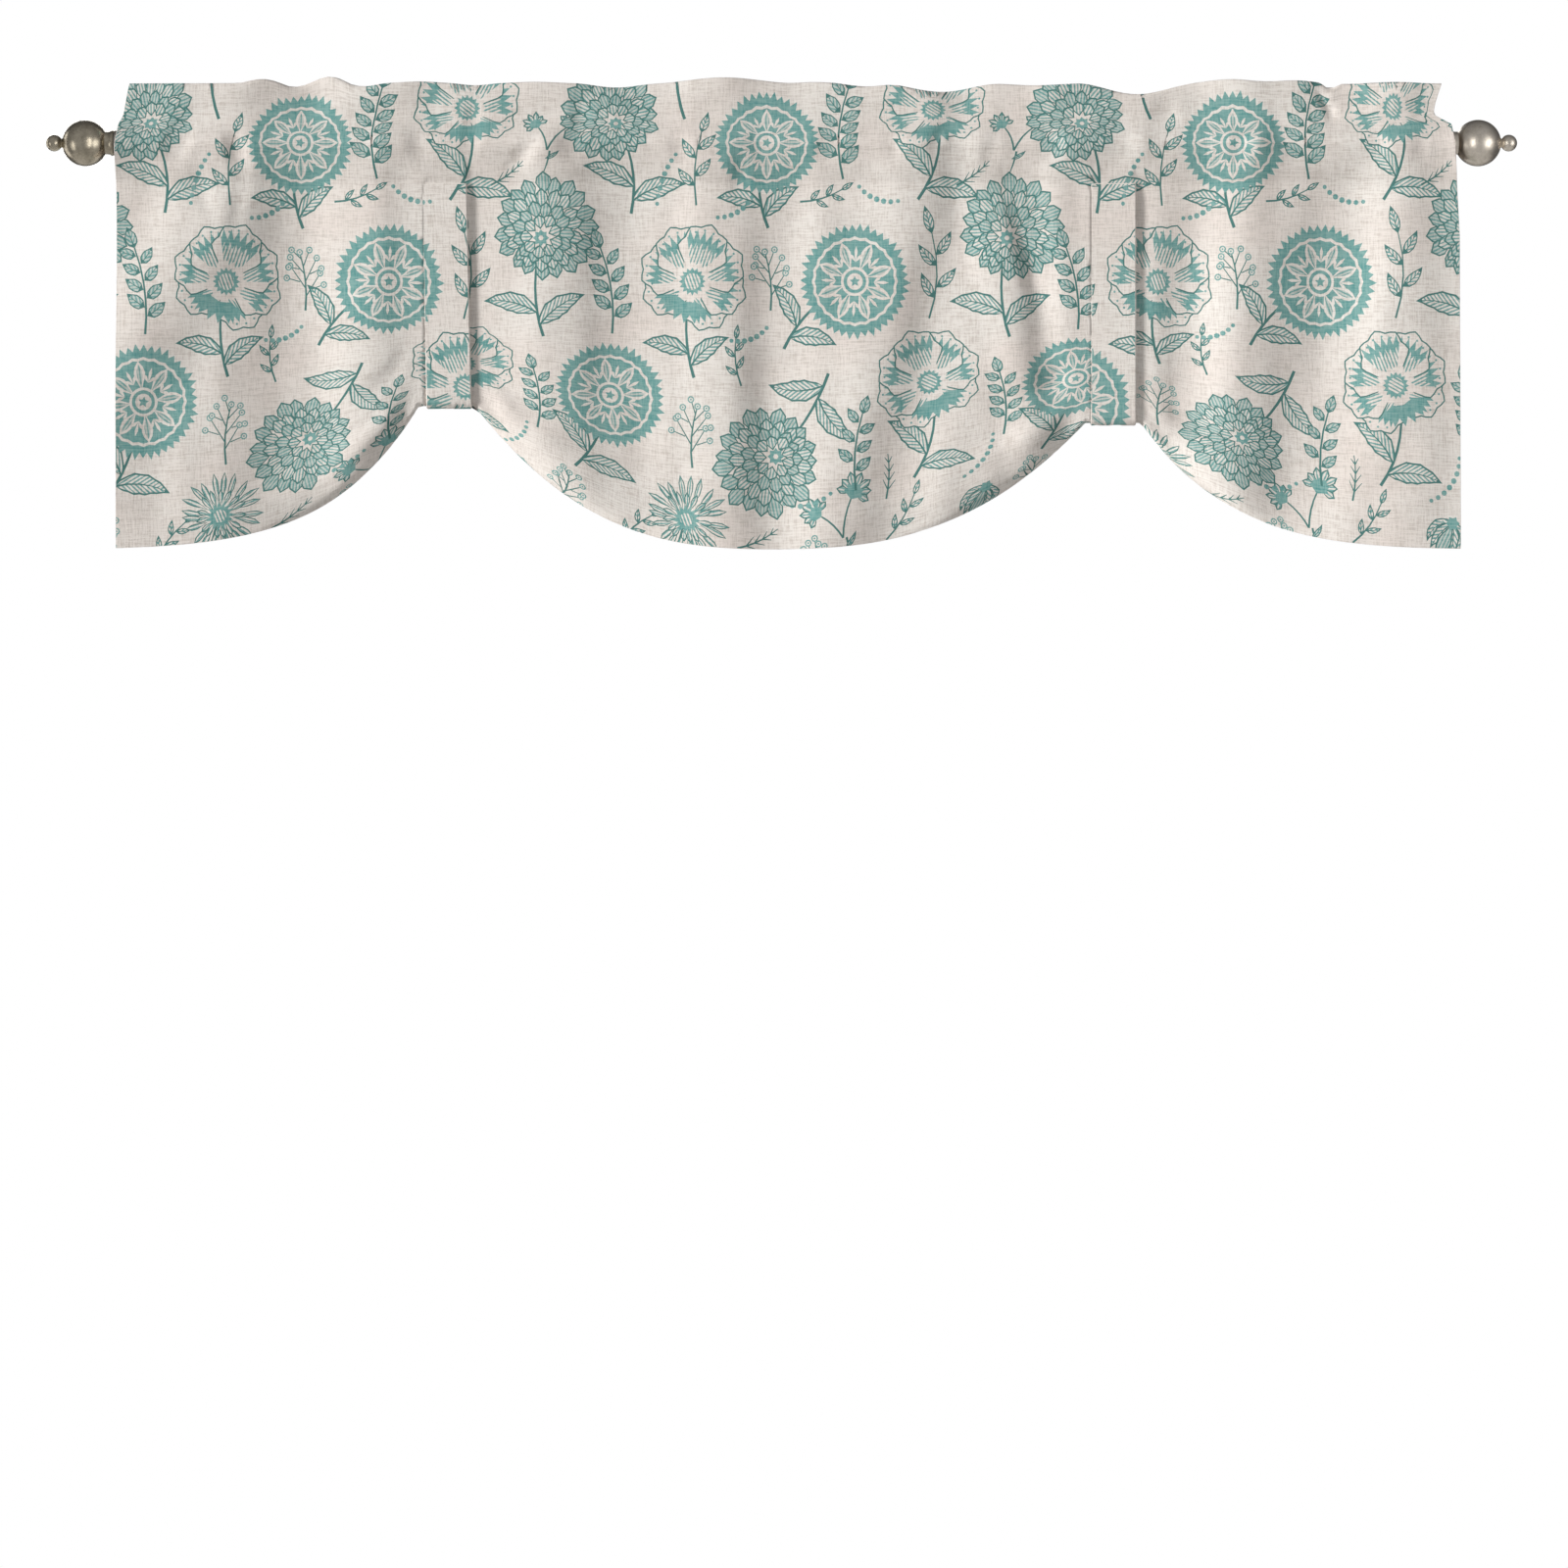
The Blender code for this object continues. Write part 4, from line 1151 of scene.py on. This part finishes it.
def panel_thickness(flat):
    """The cloth's thickness, doubled where the hem is turned up behind."""
    hem = ease((flat[:, 1] - (HEM_V - HEM_BAND - 1)) / 1.5)
    side = ease((np.abs(flat[:, 0] - CUT_WIDTH / 2) - (CUT_WIDTH / 2 - 10)) / 1.5) * (flat[:, 1] > SEAM_V + 4)
    return PANEL_CLOTH + HEM_CLOTH * np.maximum(hem, side)


panel_print = print_shapes(0, CUT_WIDTH, FLAP_V, HEM_V)
panel = build_sheet("printed_panel", hung_panel, panel_seams(), panel_loose(), panel_print, panel_coarse(),
                    panel_thickness, PANEL_EDGE)
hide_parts("panel")
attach(panel, "root")

# %% [markdown]
# ## The ties
#
# Each tie is a flat strap of the same cloth. It starts at the pocket's lower seam, lies on the front of
# the skirt, turns under the lifted hem and goes back up behind. Its print carries on from the panel's.

# %% Straps round the lifted hem
STRAP_EDGE = 1.1              # the strap's rounded edge, in millimetres
STRAP_TUCK = 0.0011           # its left edge and its top end lie this much deeper in the cloth
TUCK_LOW, TUCK_FADE = 0.006, 0.020      # the left edge sinks in from here above the strap's lowest place
TUCK_TOP, TOP_FADE = 0.016, 0.014       # and the top end from here below the seam


def strap_line(tie):
    """Depth and height down the front of the skirt, round under the hem and up behind it."""
    x = np.array([[tie.x]])
    raised = float(lift(x)[0, 0])
    leg_all = TURN_SHARE * raised
    turn = min(leg_all / TURN_RADIUS_TIE, TURN_MAX)
    centre_z = HEM + raised + TURN_RADIUS_TIE
    leg = leg_all - TURN_RADIUS_TIE * turn

    def skirt_y(z):
        return float(centre_y(x, np.array([[z]]))[0, 0])

    front_y = skirt_y(centre_z) - CLOTH - GAP - TIE_CLOTH / 2
    back_y = front_y + 2 * TURN_RADIUS_TIE + CLOTH + 2 * GAP + TIE_CLOTH
    radius = (back_y - front_y) / 2
    lean = leg * math.sin(turn)
    leg_top = centre_z + leg + 0.004
    top = POCKET_SEAM - FACE_GAP
    line = [(skirt_y(z) - CLOTH - GAP - TIE_CLOTH / 2, z) for z in np.linspace(top, centre_z, 40)]
    for i in range(1, 25):
        angle = math.pi * i / 24
        line.append((front_y + radius - radius * math.cos(angle), centre_z - radius * math.sin(angle)))
    line += [(back_y + lean, centre_z + leg), (back_y + lean, leg_top)]
    seam_y = skirt_y(POCKET_SEAM - SEAM_ALLOWANCE) + CLOTH + GAP + TIE_CLOTH / 2
    for share in np.linspace(0, 1, 30)[1:]:
        line.append((mix(back_y + lean, seam_y, float(ease(share))), mix(leg_top, top, share)))
    return np.array(line)


def hang_tie(tie):
    """A strap as a net of places, tucked into the cloth along its left edge and its top end."""
    line = strap_line(tie)
    length = run_length(line[:, 0], line[:, 1])
    rows = int(length[-1] / MM)
    at = np.linspace(0, length[-1], rows)
    y, z = np.interp(at, length, line[:, 0]), np.interp(at, length, line[:, 1])
    y, z = moved_out(y, z, TIE_CLOTH / 2)
    half = TIE_HALF_WIDTH - STRAP_EDGE * MM
    columns = np.linspace(-half, half, 15)
    down = (z - POCKET_SEAM) / (z.min() - POCKET_SEAM)
    x = tie.x + tie.lean * (2 * down - 1)
    in_front = np.arange(rows) < np.argmin(z)
    lean_back = STRAP_TUCK * ease((z - z.min() - TUCK_LOW) / TUCK_FADE) * in_front
    from_left = (half - columns) / (2 * half)
    tucked_top = STRAP_TUCK * ease((z - POCKET_SEAM + TUCK_TOP) / TOP_FADE) * in_front
    deep = y[:, None] + np.maximum(lean_back[:, None] * from_left, tucked_top[:, None])
    net = np.stack([x[:, None] + columns[None, :], deep, z[:, None] + 0 * columns], axis=2)
    left = flat_a(tie.x - half)
    return Hung(net, left, flat_a(tie.x + half) - left, SEAM_V, length[-1] / MM)


for tie in TIES:
    hung = hang_tie(tie)
    right, bottom = hung.left + hung.width, hung.top + hung.length
    rows = even(hung.top, bottom, 3.0)
    loose = grid(rows, even(hung.left, right, 6.0)) + grid(rows, (hung.left, right))
    coarse = grid(rows, even(hung.left, right, 9.0))
    strap_print = print_shapes(hung.left, right, hung.top, bottom)
    strap = build_sheet("printed_" + tie.name, hung, [], loose, strap_print, coarse,
                        lambda flat: np.full(len(flat), TIE_CLOTH), STRAP_EDGE * MM)
    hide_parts(tie.name)
    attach(strap, "root")

# %% [markdown]
# ## The finials
#
# A turned finial closes each end of the rod: a collar, a ball and a small knob. Turning is what spin
# does: a profile goes round the axis once.

# %% Turned finials
ROD_HALF_LENGTH = 0.6482
COLLAR_RADIUS = 0.0124
BALL_RADIUS, BALL_CENTRE = 0.0225, 0.0286
KNOB_RADIUS, KNOB_CENTRE = 0.0081, 0.0586
NECK, BALL_END, WAIST = 0.0110, 0.0052, 0.0042      # radii before the ball, past it and at the knob
SPIN_STEPS = 72


def arc(centre, radius, start, stop, steps):
    """Part of a ball's profile, from one angle to another."""
    return [(centre - radius * math.cos(t), radius * math.sin(t)) for t in np.linspace(start, stop, steps)]


def finial_profile():
    """Distance from the rod's end and radius, from the collar out to the knob."""
    profile = [(FACE_GAP, 0.0), (FACE_GAP, COLLAR_RADIUS - 0.0006), (FACE_GAP + 0.0006, COLLAR_RADIUS)]
    profile += [(0.0026, COLLAR_RADIUS), (0.0034, COLLAR_RADIUS - 0.0004)]
    profile += [(0.0048, NECK + 0.0003), (0.0064, NECK)]
    start, stop = math.asin(NECK / BALL_RADIUS), math.pi - math.asin(BALL_END / BALL_RADIUS)
    profile += arc(BALL_CENTRE, BALL_RADIUS, start, stop, 40)
    profile += [(0.0508, 0.0049), (0.0514, WAIST), (0.0517, WAIST)]
    profile += arc(KNOB_CENTRE, KNOB_RADIUS, math.asin(WAIST / KNOB_RADIUS), math.pi, 20)
    profile[-1] = (KNOB_CENTRE + KNOB_RADIUS, 0.0)
    return profile


def make_finial(name, side):
    bm = bmesh.new()
    points = [bm.verts.new((side * (ROD_HALF_LENGTH + d), r, 0)) for d, r in finial_profile()]
    edges = [bm.edges.new(pair) for pair in zip(points, points[1:])]
    bmesh.ops.spin(bm, geom=points + edges, cent=(0, 0, 0), axis=(1, 0, 0), angle=math.tau,
                   steps=SPIN_STEPS, use_merge=True)
    bmesh.ops.remove_doubles(bm, verts=bm.verts, dist=0.00001)
    bmesh.ops.recalc_face_normals(bm, faces=bm.faces)
    mesh = bpy.data.meshes.new(name)
    bm.to_mesh(mesh)
    bm.free()
    mesh.shade_smooth()
    mesh.set_sharp_from_angle(angle=math.radians(40))
    piece = add_object(name, mesh)
    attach(piece, "root")
    return piece


finials = [make_finial("turned_finial_left", -1), make_finial("turned_finial_right", 1)]
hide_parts("finial_left")
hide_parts("finial_right")
print("finials reach", round(ROD_HALF_LENGTH + KNOB_CENTRE + KNOB_RADIUS, 4), "m from the middle")

# %% [markdown]
# ## The cloth's material
#
# The cloth is a plain weave of uneven yarns, in the way of linen. Thick places in a yarn, called slubs,
# show as short light or dark streaks, some along the cloth and some across it. Noise stretched a long
# way in one direction gives such streaks. It is read from the flat cloth's own map, so the weave follows
# every fold. The print soaks into the yarns, so the streaks go through it.

# %% A helper for shader nodes
class Shade:
    """Adds nodes to a material or to the sky and links them, one short call for each."""

    def __init__(self, owner, shader="Principled BSDF"):
        owner.use_nodes = True
        self.owner, self.tree = owner, owner.node_tree
        self.shader = self.tree.nodes[shader]

    def put(self, socket, value):
        """Links another node's output to a socket, or sets the socket to a constant."""
        if isinstance(value, bpy.types.NodeSocket):
            self.tree.links.new(value, socket)
        else:
            socket.default_value = value

    def node(self, kind, inputs=None, **settings):
        made = self.tree.nodes.new(kind)
        for key, value in settings.items():
            setattr(made, key, value)
        for key, value in (inputs or {}).items():
            self.put(made.inputs[key], value)
        return made

    def math(self, operation, a, b=0.0):
        return self.node("ShaderNodeMath", {0: a, 1: b}, operation=operation).outputs[0]

    def add(self, first, *others):
        for value in others:
            first = self.math("ADD", first, value)
        return first

    def times(self, a, b):
        return self.math("MULTIPLY", a, b)

    def ramp(self, value, low, high, out_low=0.0, out_high=1.0):
        inputs = {0: value, 1: low, 2: high, 3: out_low, 4: out_high}
        return self.node("ShaderNodeMapRange", inputs).outputs[0]

    def blend(self, share, a, b):
        return self.node("ShaderNodeMix", {0: share, 6: a, 7: b}, data_type="RGBA").outputs[2]

    def noise(self, vector, scale, detail=2.0, rough=0.5):
        scaled = self.node("ShaderNodeMapping", {"Vector": vector, "Scale": scale}).outputs[0]
        inputs = {"Vector": scaled, "Scale": 1.0, "Detail": detail, "Roughness": rough}
        return self.node("ShaderNodeTexNoise", inputs).outputs[0]

    def bump(self, strength, distance, height):
        inputs = {"Strength": strength, "Distance": distance, "Height": height}
        self.set(Normal=self.node("ShaderNodeBump", inputs).outputs[0])

    def set(self, **values):
        for key, value in values.items():
            self.put(self.shader.inputs[key.replace("_", " ")], value)


def new_shade(name):
    """A new material and its nodes."""
    return Shade(bpy.data.materials.new(name))


# %% Printed linen-look cloth
LIGHT_YARN = (0.810, 0.770, 0.722, 1.0)
DARK_YARN = (0.610, 0.553, 0.503, 1.0)
PINK_YARN = (0.780, 0.710, 0.660, 1.0)
LINE_PITCH = 0.0033           # from one fine line of the print to the next
INK = (0.092, 0.285, 0.275, 1.0)
THIN_INK = (0.175, 0.380, 0.360, 1.0)
DEEP_INK = (0.078, 0.205, 0.190, 1.0)


def cloth_material(name):
    s = new_shade(name)
    flat = s.node("ShaderNodeUVMap", uv_map="FlatCloth").outputs[0]
    shape = s.node("ShaderNodeAttribute", attribute_name="print").outputs["Vector"]
    gap, line, way = s.node("ShaderNodeSeparateXYZ", {0: shape}).outputs
    a, v, _ = s.node("ShaderNodeSeparateXYZ", {0: flat}).outputs
    aside = s.add(s.times(a, s.math("SINE", way)), s.times(v, s.math("COSINE", way)))
    wave = s.math("COSINE", s.times(aside, math.tau / LINE_PITCH))
    wave = s.add(wave, s.ramp(s.noise(flat, (160, 160, 1)), 0.3, 0.7, -0.5, 0.5))
    ink = s.node("ShaderNodeMix", {0: s.ramp(wave, -0.05, 0.35), 2: gap, 3: line}).outputs[0]
    weft = s.ramp(s.noise(flat, (60, 600, 1), 3.0, 0.7), 0.38, 0.62, 0, 0.60)
    warp = s.ramp(s.noise(flat, (600, 60, 1), 3.0, 0.7), 0.40, 0.64, 0, 0.50)
    long_weft = s.ramp(s.noise(flat, (7, 260, 1)), 0.52, 0.64, 0, 0.16)
    long_warp = s.ramp(s.noise(flat, (260, 7, 1)), 0.53, 0.64, 0, 0.12)
    streaks = s.add(weft, warp, long_weft, long_warp)
    tone = s.noise(flat, (9, 11, 1), 3.0)
    ground = s.blend(s.ramp(tone, 0.40, 0.65), LIGHT_YARN, PINK_YARN)
    ground = s.blend(s.ramp(streaks, 0.40, 1.08), ground, DARK_YARN)
    dye = s.blend(s.ramp(streaks, 0.30, 1.20), THIN_INK, INK)
    dye = s.blend(s.ramp(ink, 1.0, DEEP), dye, DEEP_INK)
    cover = s.times(ink, s.ramp(streaks, 0.1, 0.9, 0.86, 0.99))
    s.set(Base_Color=s.blend(cover, ground, dye), Roughness=0.92)
    s.set(Sheen_Weight=0.08, Sheen_Roughness=0.5, Specular_IOR_Level=0.2)
    threads = s.add(s.noise(flat, (110, 1500, 1)), s.noise(flat, (1500, 110, 1)))
    s.bump(0.55, 0.0004, s.add(s.times(streaks, 0.7), s.times(threads, 0.5)))
    return s.owner


cloth = cloth_material("printed linen-look cloth")
for piece in bpy.data.objects:
    if piece.name.startswith("printed_"):
        piece.data.materials.append(cloth)

# %% [markdown]
# ## The metal
#
# The finials have an antique pewter finish: a warm grey metal, lighter and darker in soft patches that
# noise lays at random. The left one is the darker of the two. Fine noise breaks up the roughness, so
# highlights have soft, uneven edges as on a cast and rubbed surface.

# %% Antique pewter and the rod's brushed steel
def metal_material(name, light, dark, roughness, grain):
    s = new_shade(name)
    place = s.node("ShaderNodeTexCoord").outputs["Object"]
    cloud = s.noise(place, (90, 90, 90), 4.0, 0.6)
    fine = s.noise(place, grain, 3.0, 0.6)
    worn = s.add(s.times(cloud, 0.7), s.times(fine, 0.3))
    s.set(Base_Color=s.blend(s.ramp(worn, 0.40, 0.62), light, dark), Metallic=1.0)
    s.set(Roughness=s.ramp(worn, 0.35, 0.65, roughness - 0.04, roughness + 0.08))
    s.bump(0.12, 0.0003, worn)
    return s.owner


dark_pewter, light_pewter, steel = [metal_material(*row) for row in (
    ("dark antique pewter", (0.60, 0.54, 0.43, 1.0), (0.36, 0.32, 0.25, 1.0), 0.26, (600, 600, 600)),
    ("light antique pewter", (0.86, 0.79, 0.70, 1.0), (0.62, 0.56, 0.48, 1.0), 0.34, (600, 600, 600)),
    ("brushed rod steel", (0.52, 0.49, 0.44, 1.0), (0.38, 0.35, 0.31, 1.0), 0.34, (30, 900, 900)),
)]
for piece, finish in zip(finials, (dark_pewter, light_pewter)):
    piece.data.materials.append(finish)
for slot in frame["nodes"]["rod"].material_slots:
    slot.material = steel

# %% [markdown]
# ## Floor, light and sky
#
# Low light from the left models the folds. The metal sees tall lamps of its own, so its highlights are soft
# and upright. The sky is pale on the camera's side and dark behind the object, which gives metal dark rims.

# %% Stage
FLOOR_Z = -1.95
WHITE = (1.0, 1.0, 1.0, 1.0)
WARM = (1.0, 0.98, 0.95)


def lamp(name, kind, aim, power, colour, **settings):
    """A new lamp that shines in the direction of aim."""
    data = bpy.data.lights.new(name, kind)
    data.energy, data.color = power, colour
    for key, value in settings.items():
        setattr(data, key, value)
    made = add_object(name, data)
    made.rotation_euler = Vector(aim).to_track_quat("-Z", "Y").to_euler()
    return made


def area_light(name, place, target, size, power, colour, for_metal=False):
    aim = Vector(target) - Vector(place)
    made = lamp(name, "AREA", aim, power, colour, shape="ELLIPSE", size=size[0], size_y=size[1])
    made.location = place
    made.visible_camera = False
    made.visible_diffuse = not for_metal


key_light = lamp("key_light", "SUN", (0.90, 0.37, -0.13), 4.15, (1.0, 0.99, 0.98), angle=math.radians(15))
key_light.visible_glossy = False
area_light("window_light", (3.3, -2.2, -0.2), (0.3, 0, -0.1), (1.7, 2.2), 16, (1.0, 1.0, 1.0))
area_light("back_light", (-1.0, 3.2, 0.6), (0, 0, -0.2), (2.4, 2.4), 60, (0.98, 0.99, 1.0))
area_light("near_light", (-0.05, -1.2, -0.05), (0, 0, 0), (0.42, 1.1), 3.6, WARM, True)
area_light("left_light", (-3.0, -1.35, -0.7), (-0.7, 0, 0), (0.9, 1.8), 7.0, WARM, True)
area_light("edge_light", (-2.7, 0.95, -0.2), (-0.7, 0, 0), (0.9, 3.2), 12.0, WARM, True)
area_light("right_light", (3.3, -2.2, -0.2), (0.7, 0, 0), (2.9, 3.4), 26.0, (1.0, 0.99, 0.97), True)

bpy.ops.mesh.primitive_circle_add(vertices=96, radius=3.0, fill_type="NGON", location=(0, 0, FLOOR_Z))
floor = bpy.context.object
floor.name = "floor"
pale = new_shade("pale floor")
pale.set(Base_Color=(0.84, 0.83, 0.81, 1.0), Roughness=0.9)
floor.data.materials.append(pale.owner)

world = bpy.data.worlds.new("sky")
bpy.context.scene.world = world
s = Shade(world, "Background")
way = s.node("ShaderNodeTexCoord").outputs["Generated"]
towards = s.node("ShaderNodeVectorMath", {0: way, 1: (0.0, -1.0, 0.3)}, operation="DOT_PRODUCT")
s.set(Color=WHITE, Strength=s.ramp(towards.outputs["Value"], -0.4, 0.8, 0.08, 0.36))
seen = s.node("ShaderNodeBackground", {"Color": WHITE, "Strength": 1.0}).outputs[0]
camera_ray = s.node("ShaderNodeLightPath").outputs["Is Camera Ray"]
sky = s.node("ShaderNodeMixShader", {0: camera_ray, 1: s.shader.outputs[0], 2: seen})
s.put(s.tree.nodes["World Output"].inputs["Surface"], sky.outputs[0])
bpy.context.scene.view_settings.view_transform = "Standard"
bpy.context.scene.view_settings.look = "None"
